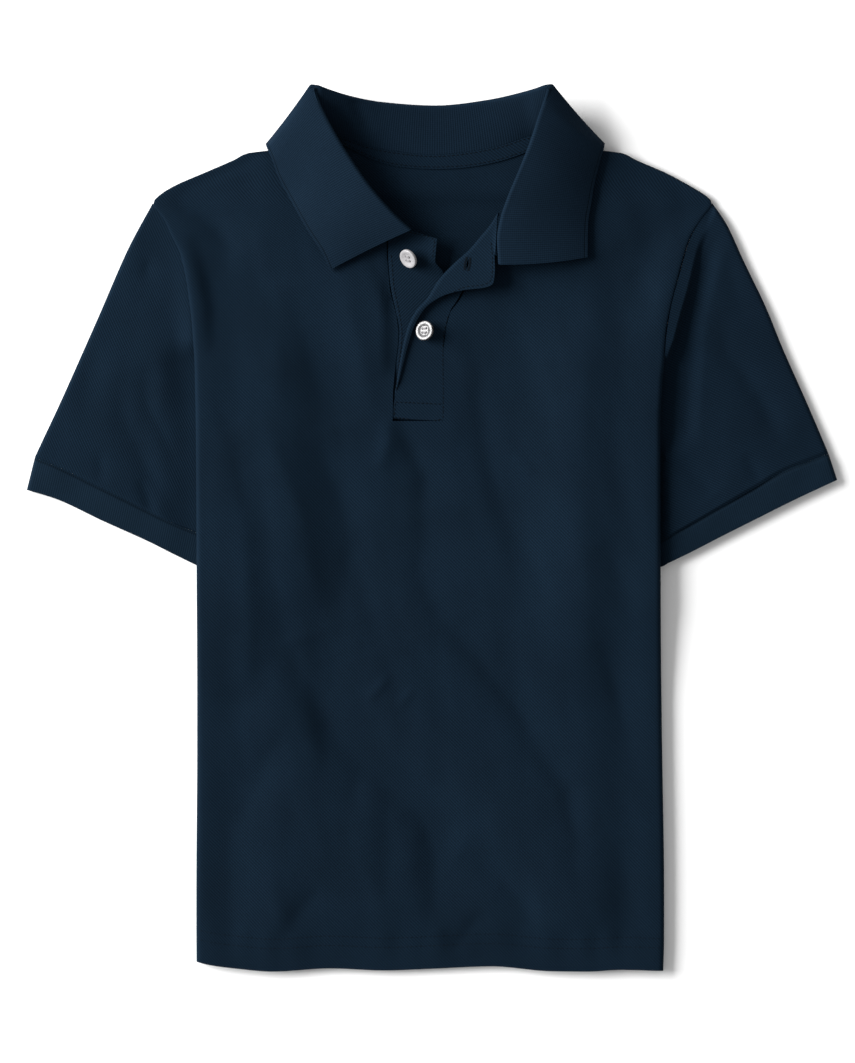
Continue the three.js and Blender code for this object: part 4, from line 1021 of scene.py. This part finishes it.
def under_grid():
    """Rows up the under placket, whose edges are a little lower than its middle."""
    shares = [0, 0.02, 0.04] + list(np.linspace(0.08, 0.92, 14)) + [0.96, 0.98, 1]
    lists = []
    for lx, ly, rx, ry, rise in PLACKET_UNDER:
        row = []
        for t in shares:
            drop = 0.3 * (1 - step(0, 0.04, min(t, 1 - t)))
            spring = UNDER_SPRING * t ** 3 * step(150, 158, ry)
            row.append((mix(lx, rx, t), mix(ly, ry, t), rise - drop + spring))
        lists.append(row)
    return between_rows(lists, 5)


def upper_grid():
    """Rows up the upper placket, each from its seam to its edge and round to the part folded back."""
    stops = np.linspace(0, 1, 13)
    lists = []
    for seam, turn, free, rise, turn_round in PLACKET_UPPER:
        seam, turn = Vector((*seam, rise)), Vector((*turn, rise))
        away = (turn - seam).normalized()
        if free is None:
            row = [seam.lerp(turn, t) for t in stops] + [turn] * 24
        else:
            centre = turn - away * turn_round + Vector((0, 0, turn_round))
            arc = [centre + away * turn_round * math.cos(a) + Vector((0, 0, turn_round * math.sin(a)))
                   for a in np.radians(np.linspace(-90, 90, 13))]
            wide = math.dist(free, arc[-1].xy)
            edge = Vector((*free, arc[-1].z - 0.2 + FLAP_SPRING * max(0, wide - 3)))
            row = [seam.lerp(arc[0], t) for t in stops[:-1]] + arc
            row += [arc[-1].lerp(edge, t) for t in stops[1:]]
        lists.append([tuple(p) for p in row])
    return between_rows(lists, 7)


neck_tape = shell("neck_tape_cloth", tape_grid(), TAPE, flip=-1)
under_points = under_grid()
placket_under = shell("placket_under_cloth", under_points, PLACKET, flip=-1,
                      chart=plan_map(under_points, 90))
upper_points = upper_grid()
placket_upper = shell("placket_upper_cloth", upper_points, PLACKET, chart=plan_map(upper_points))
for vertex in placket_upper.data.vertices:
    vertex.co.z = max(vertex.co.z, UPPER_LOWEST * MM)
for piece in (neck_tape, placket_under, placket_upper):
    soften(piece)
    measure(piece)

# %% [markdown]
# ## Stitches
# One stitch is modelled as a small round bead of thread, then laid along each sewn line. It sits
# half sunk in the cloth. Their length, 2 to 3 mm, is that of a lockstitch in light knitwear.

# %% Stitches
STITCH_LONG = 2.1
STITCH_WIDE = 0.55
STITCH_GAP = 0.55
# A stitch is this much flatter than it is wide.
STITCH_FLAT = 0.7
ABOVE_ALL_M = 0.2

bpy.ops.object.select_all(action="DESELECT")
bpy.ops.mesh.primitive_uv_sphere_add(segments=8, ring_count=6, radius=0.5)
bead = bpy.context.object
bead_points = np.array([v.co for v in bead.data.vertices])
bead_faces = [tuple(p.vertices) for p in bead.data.polygons]
bpy.data.objects.remove(bead)


def on_top_of(pieces, x, y):
    """Where the highest of some pieces is at a place seen from above, and its normal there."""
    best = (None, None)
    for piece in pieces:
        above = Vector((x * MM, y * MM, ABOVE_ALL_M))
        hit, place, normal, _ = piece.ray_cast(above, Vector((0, 0, -1)))
        if hit and (best[0] is None or place.z > best[0].z):
            best = (place, normal)
    return best


def laid_stitches(name, strokes, material):
    """Thread strokes, each from a start to an end on its pieces, joined in one object."""
    points, faces = [], []
    for pieces, start, end, wide in strokes:
        middle = (np.array(start) + np.array(end)) / 2
        place, up = on_top_of(pieces, *middle)
        if place is None:
            continue
        run = Vector((end[0] - start[0], end[1] - start[1], 0))
        length = run.length
        along = (run - up * run.dot(up)).normalized()
        side = up.cross(along)
        frame_of = np.array([along * length, side * wide, up * wide * STITCH_FLAT])
        base = len(points) * len(bead_points)
        points.append((bead_points @ frame_of) * MM + np.array(place))
        faces += [tuple(base + v for v in face) for face in bead_faces]
    mesh = bpy.data.meshes.new(name)
    mesh.from_pydata(np.concatenate(points).tolist(), [], faces)
    thread = bpy.data.objects.new(name, mesh)
    bpy.context.collection.objects.link(thread)
    mesh.materials.append(material)
    for polygon in mesh.polygons:
        polygon.use_smooth = True
    measure(thread)
    return thread


def along_line(pieces, line, long=STITCH_LONG, gap=STITCH_GAP, wide=STITCH_WIDE):
    """Strokes evenly spaced along a line of points in millimetres."""
    dense, gone = line_through(line)
    total = float(np.sum(np.linalg.norm(np.diff(dense, axis=0), axis=1)))
    count = max(1, int(total / (long + gap)))
    ends = np.arange(count) / count
    starts = on_line((dense, gone), ends)
    stops = on_line((dense, gone), ends + long / total)
    return [(pieces, tuple(a), tuple(b), wide) for a, b in zip(starts, stops)]

# %% [markdown]
# ## Materials
# The colours are given as on a screen and turned to linear light by one function. The dyed navy
# cotton is nearly black in linear light, so its gloss is held low, or the shine would hide it.

# %% Materials
def linear(colour):
    """An sRGB colour such as "#14202e" as linear RGBA."""
    parts = [int(colour[n:n + 2], 16) / 255 for n in (1, 3, 5)]
    return (*[c / 12.92 if c <= 0.04045 else ((c + 0.055) / 1.055) ** 2.4 for c in parts], 1.0)


def node(tree, kind, inputs=None, **settings):
    """Adds a node; inputs maps a socket to a number, a colour or another node's output."""
    added = tree.nodes.new(kind)
    for key, value in settings.items():
        setattr(added, key, value)
    for key, value in (inputs or {}).items():
        if isinstance(value, bpy.types.NodeSocket):
            tree.links.new(value, added.inputs[key])
        else:
            added.inputs[key].default_value = value
    return added


def new_material(name):
    """A material with an empty node tree, and that tree."""
    material = bpy.data.materials.new(name)
    material.use_nodes = True
    material.node_tree.nodes.clear()
    return material, material.node_tree


def stripe(tree, along, pitch_mm):
    """A wave from 0 to 1 with that pitch along a length in metres."""
    turn = node(tree, "ShaderNodeMath", {0: along, 1: 2 * math.pi / (pitch_mm * MM)}, operation="MULTIPLY")
    wave = node(tree, "ShaderNodeMath", {0: turn.outputs[0]}, operation="COSINE")
    return summed(tree, 0.5, (wave.outputs[0], 0.5))


def summed(tree, base, *parts):
    """A base plus each of the values times its own share."""
    for value, share in parts:
        added = node(tree, "ShaderNodeMath", {0: value, 1: share, 2: base}, operation="MULTIPLY_ADD")
        base = added.outputs[0]
    return base


# Cotton yarn has next to no gloss. Its dye is uneven: the shade drifts slowly over the cloth.
def dyed_cotton(tree, place, share, high, colours, drift, bump):
    """The end of both knits: share picks the colour between two, darker in the knit's low places as
    painted shade, high is the height of the bumps.
    """
    low_colour, high_colour = colours
    drift_scale, least, most = drift
    strength, deep_mm = bump
    colour = node(tree, "ShaderNodeMix", {"Factor": share, "A": linear(low_colour),
                                          "B": linear(high_colour)}, data_type="RGBA")
    wide = node(tree, "ShaderNodeTexNoise", {"Vector": place, "Scale": drift_scale, "Detail": 3.0})
    worn = node(tree, "ShaderNodeMapRange", {"Value": wide.outputs[0], "From Min": 0.3, "From Max": 0.7,
                                             "To Min": least, "To Max": most})
    shade = node(tree, "ShaderNodeVectorMath", {0: colour.outputs["Result"], 1: worn.outputs[0]},
                 operation="MULTIPLY")
    relief = node(tree, "ShaderNodeBump", {"Height": high, "Strength": strength, "Distance": deep_mm * MM})
    cotton = node(tree, "ShaderNodeBsdfPrincipled", {
        "Base Color": shade.outputs[0], "Roughness": 0.9, "Specular IOR Level": 0.04,
        "Sheen Weight": 0.0, "Normal": relief.outputs[0]})
    node(tree, "ShaderNodeOutputMaterial", {"Surface": cotton.outputs[0]})


# Combed cotton pique, knitted and dyed navy: rows of small raised cells, set like bricks, give a
# fine diagonal grain and a matt face. The real cells are about 0.9 mm apart, less than two
# pixels of the render, so they are drawn 1.35 mm apart.
PIQUE_PITCH_MM = 1.35
ALONG_DIAGONAL = math.sqrt(2)
FUZZ_SCALE = 1100.0


def cotton_pique(name, low_colour, high_colour):
    material, tree = new_material(name)
    cloth = node(tree, "ShaderNodeUVMap", uv_map="cloth")
    split = node(tree, "ShaderNodeSeparateXYZ", {0: cloth.outputs[0]})
    rise, fall = (node(tree, "ShaderNodeMath", {0: split.outputs[0], 1: split.outputs[1]}, operation=way)
                  for way in ("ADD", "SUBTRACT"))
    first, second = (stripe(tree, way.outputs[0], PIQUE_PITCH_MM * ALONG_DIAGONAL) for way in (rise, fall))
    broken = summed(tree, 0.7, (second, 0.4))
    cells = node(tree, "ShaderNodeMath", {0: first, 1: broken}, operation="MULTIPLY").outputs[0]
    place = node(tree, "ShaderNodeTexCoord").outputs["Object"]
    fuzz = node(tree, "ShaderNodeTexNoise", {"Vector": place, "Scale": FUZZ_SCALE,
                                             "Detail": 1.0}).outputs[0]
    # The colour follows the cells' height: lighter on the raised cells and darker in the pits between
    # them, which is painted shade. The fuzz adds the yarn's random tone.
    share = summed(tree, 0.05, (cells, 0.75), (fuzz, 0.35))
    high = summed(tree, cells, (fuzz, 0.4))
    dyed_cotton(tree, place, share, high, (low_colour, high_colour), drift=(22.0, 0.9, 1.08),
                bump=(0.6, 0.18))
    return material


# Cotton rib knit for collar and cuffs: fine ribs at right angles to the edge, one every 1.3 mm,
# with a thin line of tighter stitches just inside a knitted edge.
RIB_PITCH_MM = 1.3
LOOP_PITCH_MM = 1.2
EDGE_LINE_WIDE_MM = 0.7


def cotton_rib(name, low_colour, high_colour, edge_line_mm):
    material, tree = new_material(name)
    cloth = node(tree, "ShaderNodeUVMap", uv_map="cloth")
    split = node(tree, "ShaderNodeSeparateXYZ", {0: cloth.outputs[0]})
    ribs = stripe(tree, split.outputs[0], RIB_PITCH_MM)
    loops = stripe(tree, split.outputs[1], LOOP_PITCH_MM)
    place = node(tree, "ShaderNodeTexCoord").outputs["Object"]
    fuzz = node(tree, "ShaderNodeTexNoise", {"Vector": place, "Scale": FUZZ_SCALE,
                                             "Detail": 1.0}).outputs[0]
    off = node(tree, "ShaderNodeMath", {0: split.outputs[1], 1: edge_line_mm * MM}, operation="SUBTRACT")
    near = node(tree, "ShaderNodeMath", {0: off.outputs[0]}, operation="ABSOLUTE")
    groove = node(tree, "ShaderNodeMapRange", {
        "Value": near.outputs[0], "From Min": 0.0, "From Max": EDGE_LINE_WIDE_MM * MM,
        "To Min": 1.0, "To Max": 0.0}).outputs[0]
    # The colour follows the relief: lighter on the ribs' crests, darker between them and in the groove of
    # the edge line, which is painted shade in those hollows.
    share = summed(tree, 0.1, (ribs, 0.5), (loops, 0.2), (fuzz, 0.4))
    share = node(tree, "ShaderNodeMath", {0: groove, 1: -0.5, 2: share}, operation="MULTIPLY_ADD",
                 use_clamp=True)
    high = summed(tree, ribs, (loops, 0.3), (groove, -1.5))
    dyed_cotton(tree, place, share.outputs[0], high, (low_colour, high_colour),
                drift=(30.0, 0.92, 1.07), bump=(0.5, 0.16))
    return material


# Spun polyester sewing thread, dyed to the cloth: a fine twist and a slight shine.
def sewing_thread(name, dark, bright):
    material, tree = new_material(name)
    place = node(tree, "ShaderNodeTexCoord").outputs["Object"]
    twist = node(tree, "ShaderNodeTexNoise", {"Vector": place, "Scale": 2500.0, "Detail": 1.0}).outputs[0]
    colour = node(tree, "ShaderNodeMix", {"Factor": twist, "A": linear(dark), "B": linear(bright)},
                  data_type="RGBA")
    bump = node(tree, "ShaderNodeBump", {"Height": twist, "Strength": 0.4, "Distance": 0.05 * MM})
    fibre = node(tree, "ShaderNodeBsdfPrincipled", {
        "Base Color": colour.outputs["Result"], "Roughness": 0.8, "Specular IOR Level": 0.05,
        "Normal": bump.outputs[0]})
    node(tree, "ShaderNodeOutputMaterial", {"Surface": fibre.outputs[0]})
    return material


# Cast polyester button, turned and tumbled: pale grey with a faint pearly cloud, under a polish. The lower
# one is given darker colours with dark speckles: the speckles are its own, and the darker colour is
# painted shade on the same resin.
# The polish adds the white of the surround to the colours given.
def cast_polyester(name, light, cloudy):
    material, tree = new_material(name)
    place = node(tree, "ShaderNodeTexCoord").outputs["Object"]
    cloud = node(tree, "ShaderNodeTexNoise", {"Vector": place, "Scale": 900.0, "Detail": 2.0}).outputs[0]
    share = node(tree, "ShaderNodeMapRange", {"Value": cloud, "From Min": 0.44, "From Max": 0.6})
    colour = node(tree, "ShaderNodeMix", {"Factor": share.outputs[0], "A": linear(light),
                                          "B": linear(cloudy)}, data_type="RGBA")
    rough = node(tree, "ShaderNodeMapRange", {"Value": cloud, "From Min": 0.3, "From Max": 0.7,
                                              "To Min": 0.22, "To Max": 0.34})
    resin = node(tree, "ShaderNodeBsdfPrincipled", {
        "Base Color": colour.outputs["Result"], "Roughness": rough.outputs[0], "IOR": 1.54,
        "Coat Weight": 0.1, "Coat Roughness": 0.3})
    node(tree, "ShaderNodeOutputMaterial", {"Surface": resin.outputs[0]})
    return material


pique_navy = cotton_pique("combed cotton pique, navy", "#050d15", "#0e1e2c")
rib_navy = cotton_rib("cotton rib knit, navy, collar", "#050e16", "#101f2d", 1.7)
rib_navy_cuff = cotton_rib("cotton rib knit, navy, cuffs", "#050e16", "#0f1e2b", 1.0)
thread_navy = sewing_thread("spun polyester thread, navy", "#03070c", "#070f17")
# The hem's two rows show a shade lighter than the other stitches.
thread_hem = sewing_thread("spun polyester thread, hem", "#060d15", "#0b1722")
thread_grey = sewing_thread("spun polyester thread, grey", "#6b696b", "#8d8b8d")
button_resin = {
    "top": cast_polyester("cast polyester, plain", "#949394", "#8c8a8c"),
    # The lower button's darker colours are painted shade; its dark speckles are its own.
    "lower": cast_polyester("cast polyester, speckled", "#525152", "#1c1b1d"),
}


def dress(piece, material):
    """Gives a whole piece one material."""
    piece.data.materials.clear()
    piece.data.materials.append(material)
    for polygon in piece.data.polygons:
        polygon.material_index = 0


for piece in (front_panel, back_panel, neck_tape, placket_under, placket_upper, *sleeves.values()):
    dress(piece, pique_navy)
dress(collar, rib_navy)
for piece in cuffs.values():
    dress(piece, rib_navy_cuff)

# %% [markdown]
# The buttonhole is cut through the upper layer of the flap only, before its edge is sewn round.

# %% Buttonhole
HOLE_ENDS = ((21.2, 157.7), (20.2, 151.5))
HOLE_WIDE = 1.1
BETWEEN_LAYERS = 10.3


def lens(ends, wide, count=10):
    """An outline between two points, pointed at both and widest in the middle."""
    (ax, ay), (bx, by) = ends
    length = math.dist(*ends)
    nx, ny = (by - ay) / length, -(bx - ax) / length
    bow = [(t, wide / 2 * math.sin(math.pi * t)) for t in np.linspace(0, 1, count)]
    return ([(mix(ax, bx, t) + nx * w, mix(ay, by, t) + ny * w) for t, w in bow]
            + [(mix(ax, bx, t) - nx * w, mix(ay, by, t) - ny * w) for t, w in bow[-2:0:-1]])


cut_through(placket_upper, lens(HOLE_ENDS, HOLE_WIDE), low=BETWEEN_LAYERS, solver="EXACT")

# %% [markdown]
# The rows of stitches: two round the hem, one down each side of the placket and round its box,
# one inside the edges of the flap and of the under placket, and two along the neck tape.

# %% Sewn lines
def inside_line(points, move):
    """A line moved sideways, to its left for a positive distance."""
    p = np.array(points, float)
    run = np.gradient(p, axis=0)
    run /= np.linalg.norm(run, axis=1, keepdims=True)
    return p + np.stack([-run[:, 1], run[:, 0]], axis=1) * move


hem_x = np.linspace(-135.5, 133.5, 90)
hem_strokes = []
for rise in HEM_STITCHES:
    hem_strokes += along_line([front_panel], np.stack([hem_x, hem_at(hem_x) + rise], 1))
hem_stitches = laid_stitches("hem_stitches", hem_strokes, thread_hem)

LEFT_EDGE = [(-25.74, 160.2), (-25.2, 155.3), (-24.6, 145.4), (-24.0, 140.1), (-22.2, 131.9),
             (-20.7, 124.5), (-19.5, 115.8), (-19.9, 107.3), (-21.1, 98.0), (-22.2, 88.0), (-22.8, 81.0)]
FROM_LEFT_EDGE = 1.9
RIGHT_LINE = [(9.4, 124.5), (7.0, 115.0), (6.4, 107.3), (6.4, 90.4), (6.7, 76.0), (6.4, 64.1)]
BOX = [
    [(-21.4, 74.4), (6.0, 73.1)],
    [(-22.0, 65.4), (-0.8, 63.5), (5.6, 64.2)],
    [(-21.6, 73.6), (-22.0, 66)],
]
placket_strokes = along_line([placket_under, placket_upper], inside_line(LEFT_EDGE, FROM_LEFT_EDGE))
placket_strokes += along_line([front_panel, placket_upper], RIGHT_LINE, wide=0.45)
for line in BOX:
    placket_strokes += along_line([placket_upper], line, long=1.8, gap=0.5, wide=0.7)
placket_stitches = laid_stitches("placket_stitches", placket_strokes, thread_navy)

UNDER_TOP = [(-23.5, 176.8), (-12, 173.2), (1.2, 168.9), (0.9, 164), (0.4, 158)]
under_strokes = along_line([placket_under], UNDER_TOP)
under_stitches = laid_stitches("under_placket_stitches", under_strokes, thread_navy)

FLAP_LINE = [(7.4, 135.9), (19.2, 141.2), (29.6, 142.4), (34.2, 144.8), (35.2, 152), (35.0, 161),
             (34.2, 168)]
flap_strokes = along_line([placket_upper], FLAP_LINE, wide=0.5)

# The buttonhole's edge: short strokes side by side across it, past both of its ends.
EDGE_THREAD = 0.42
PAST_ENDS = 0.8
(hx, hy), (gx, gy) = HOLE_ENDS
hole_long = math.dist(*HOLE_ENDS)
ax, ay = (gx - hx) / hole_long, (gy - hy) / hole_long
for along in np.arange(-PAST_ENDS, hole_long + PAST_ENDS, EDGE_THREAD):
    lip = 0.3 + 0.45 * math.sin(math.pi * min(1, max(0, along / hole_long)))
    for hand in (-1, 1):
        near, far = ((hx + ax * along + ay * hand * away, hy + ay * along - ax * hand * away)
                     for away in (lip - 0.2, lip + 1.6))
        flap_strokes.append(([placket_upper], near, far, EDGE_THREAD))
flap_stitches = laid_stitches("flap_stitches", flap_strokes, thread_navy)

TAPE_INSIDE = 1.2
tape_x = np.linspace(-54, 58, 50)
tape_low = through(tape_x, TAPE_EDGE[:, 0], TAPE_EDGE[:, 1]) + TAPE_INSIDE
tape_high = stand_line(tape_x)[0] - TAPE_INSIDE
tape_strokes = []
for line in (tape_low, tape_high):
    tape_strokes += along_line([neck_tape], np.stack([tape_x, line], 1))
tape_stitches = laid_stitches("tape_stitches", tape_strokes, thread_navy)

# %% [markdown]
# ## Buttons
# A button is a disc with a rounded rim and a dished middle, 11.6 mm across, with four holes
# crossed by two bars of thread. It is modelled flat, then set at its place and leaned.

# %% Buttons
BUTTONS = {
    # the middle of the face, the way the button leans, and how far in degrees
    "top": ((-14.4, 157.4, 11.6), (-0.8, -0.6), 50),
    "lower": ((-4.7, 116.0, 11.3), (-0.95, 0.2), 31),
}
RIM_SHARE, DISH_SHARE = 0.34, 0.12
DISH_DEEP = 0.45
RIM_ROUND = 0.6
THREAD_HOLE = 0.75
HOLE_OFF = 1.25
SHANK_LONG = 1.6


def new_button(name):
    """A cylinder whose top is inset twice and sunk, with its edges rounded and four holes drilled."""
    bpy.ops.object.select_all(action="DESELECT")
    radius = BUTTON_WIDTH / 2 * MM
    bpy.ops.mesh.primitive_cylinder_add(vertices=64, radius=radius, depth=BUTTON_THICK * MM,
                                        location=(0, 0, -BUTTON_THICK / 2 * MM))
    button = bpy.context.object
    button.name = name
    bpy.ops.object.transform_apply(location=True)
    bpy.ops.object.mode_set(mode="EDIT")
    work = bmesh.from_edit_mesh(button.data)
    for face in work.faces:
        face.select_set(face.normal.z > 0.9)
    bmesh.update_edit_mesh(button.data)
    bpy.ops.mesh.inset(thickness=radius * RIM_SHARE)
    bpy.ops.mesh.inset(thickness=radius * DISH_SHARE)
    bpy.ops.transform.translate(value=(0, 0, -DISH_DEEP * MM))
    bpy.ops.object.mode_set(mode="OBJECT")
    round_off = button.modifiers.new("round", "BEVEL")
    round_off.width = RIM_ROUND * MM
    round_off.segments = 4
    round_off.limit_method = "ANGLE"
    round_off.angle_limit = math.radians(40)
    bpy.ops.object.modifier_apply(modifier=round_off.name)
    for sx, sy in ((1, 1), (1, -1), (-1, 1), (-1, -1)):
        bpy.ops.mesh.primitive_cylinder_add(vertices=24, radius=THREAD_HOLE * MM, depth=8 * MM,
                                            location=(sx * HOLE_OFF * MM, sy * HOLE_OFF * MM, 0))
        drill = bpy.context.object
        select_only(button)
        hole = button.modifiers.new("hole", "BOOLEAN")
        hole.operation = "DIFFERENCE"
        hole.solver = "EXACT"
        hole.object = drill
        bpy.ops.object.modifier_apply(modifier=hole.name)
        bpy.data.objects.remove(drill)
    return button


def button_thread(name):
    """Two bars of thread across the holes, and the shank that holds the button to the cloth."""
    bpy.ops.object.select_all(action="DESELECT")
    bars = []
    for y in (-HOLE_OFF, HOLE_OFF):
        for beside in (-0.3, 0.25):
            bpy.ops.mesh.primitive_uv_sphere_add(segments=16, ring_count=8, radius=1.0)
            bar = bpy.context.object
            bar.scale = (1.7 * MM, 0.3 * MM, 0.3 * MM)
            bar.location = (0, (y + beside) * MM, -0.35 * MM)
            bars.append(bar)
    bpy.ops.mesh.primitive_cylinder_add(vertices=20, radius=1.0 * MM, depth=SHANK_LONG * MM,
                                        location=(0, 0, -(BUTTON_THICK + 0.9) * MM))
    bars.append(bpy.context.object)
    for bar in bars:
        bar.select_set(True)
    bpy.ops.object.transform_apply(location=True, rotation=True, scale=True)
    bpy.ops.object.join()
    thread = bpy.context.object
    thread.name = name
    return thread


button_model = new_button("pearl_button")
thread_model = button_thread("button_thread")
buttons, button_threads = {}, {}
for name, (spot, lean, tilt) in BUTTONS.items():
    axis = Vector((-lean[1], lean[0], 0)).normalized()
    place = Matrix.Translation(Vector(spot) * MM) @ Matrix.Rotation(math.radians(tilt), 4, axis)
    for model, kept, material in ((button_model, buttons, button_resin[name]),
                                  (thread_model, button_threads, thread_grey)):
        copy = bpy.data.objects.new(f"{model.name}_{name}", model.data.copy())
        bpy.context.collection.objects.link(copy)
        copy.data.transform(place)
        dress(copy, material)
        soften(copy, 35)
        measure(copy)
        kept[name] = copy
bpy.data.objects.remove(button_model)
bpy.data.objects.remove(thread_model)

# %% [markdown]
# ## Floor and light
# The shirt lies on a white surface that the photograph shows as pure white. One large soft light
# from the upper left draws the folds and the shadow at the right; an even white surround fills in.

# %% Floor and light
FLOOR_WIDE = 8.0
FLOOR_DOWN = 0.0002
bpy.ops.object.select_all(action="DESELECT")
bpy.ops.mesh.primitive_plane_add(size=FLOOR_WIDE, location=(0, 0, -FLOOR_DOWN))
floor = bpy.context.object
floor.name = "floor"
paper, paper_tree = new_material("white paper")
matt = node(paper_tree, "ShaderNodeBsdfPrincipled", {
    "Base Color": linear("#f3f3f3"), "Roughness": 0.9, "Specular IOR Level": 0.1})
node(paper_tree, "ShaderNodeOutputMaterial", {"Surface": matt.outputs[0]})
floor.data.materials.append(paper)

LIGHT_FROM = Vector((-0.87, 0.26, 0.46)).normalized()
LIGHT_AWAY = 3.0
LIGHT_WIDE = 2.0
LIGHT_WATTS = 262
SURROUND_STRENGTH = 0.47
lamp_data = bpy.data.lights.new("soft light", "AREA")
lamp_data.shape = "SQUARE"
lamp_data.size = LIGHT_WIDE
lamp_data.energy = LIGHT_WATTS
lamp = bpy.data.objects.new("soft light", lamp_data)
lamp.location = LIGHT_FROM * LIGHT_AWAY
lamp.rotation_euler = LIGHT_FROM.to_track_quat("Z", "Y").to_euler()
bpy.context.collection.objects.link(lamp)

world = bpy.data.worlds.new("white surround")
bpy.context.scene.world = world
world.use_nodes = True
world.node_tree.nodes.clear()
surround = node(world.node_tree, "ShaderNodeBackground", {"Color": (1, 1, 1, 1),
                                                         "Strength": SURROUND_STRENGTH})
node(world.node_tree, "ShaderNodeOutputWorld", {"Surface": surround.outputs[0]})
bpy.context.scene.view_settings.view_transform = "Standard"

# %% [markdown]
# ## What each piece is
# Every piece rides on the shirt's one body and stands for its plain solid. The cloth pieces are
# listed with the size of the flat cut that shows, in metres.

# %% What each piece is
CLOTH = [
    # piece, CAD node, slot, flat width and length, area, rests on, pieces on it
    (front_panel, "front_panel", "pique", (0.356, 0.484), 0.150, ["back_cloth"],
     [hem_stitches, placket_stitches]),
    (back_panel, "back_panel", "pique", (0.350, 0.484), 0.150, ["floor"], []),
    (sleeves["left"], "sleeve_left", "pique", (0.270, 0.160), 0.027, ["floor"], []),
    (sleeves["right"], "sleeve_right", "pique", (0.270, 0.160), 0.027, ["floor"], []),
    (cuffs["left"], "cuff_left", "rib_knit", (0.270, 0.020), None, ["floor"], []),
    (cuffs["right"], "cuff_right", "rib_knit", (0.270, 0.018), None, ["floor"], []),
    (collar, "collar", "rib_knit", (0.420, 0.085), None, ["back_cloth", "front_cloth"], []),
    (neck_tape, "neck_tape", "pique", (0.120, 0.010), None, ["back_cloth"], [tape_stitches]),
    (placket_under, "placket_under", "pique", (0.032, 0.112), None, ["back_cloth"],
     [under_stitches, buttons["top"], button_threads["top"]]),
    (placket_upper, "placket_upper", "pique", (0.060, 0.112), 0.0036, ["placket_under_cloth"],
     [flap_stitches, buttons["lower"], button_threads["lower"]]),
]
for piece, cad, finish, flat, area, rests, on_it in CLOTH:
    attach(piece, "root")
    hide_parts(cad)
    for extra in on_it:
        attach(extra, "root")
    half = sum(p.area for p in piece.data.polygons) / 2
    print(f"{piece.name}: half its surface is {half:.5f} m2, the cut {area or flat[0] * flat[1]:.5f} m2")
    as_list(rests)
    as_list(on_it)
for name, button in buttons.items():
    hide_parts(f"button_{name}")
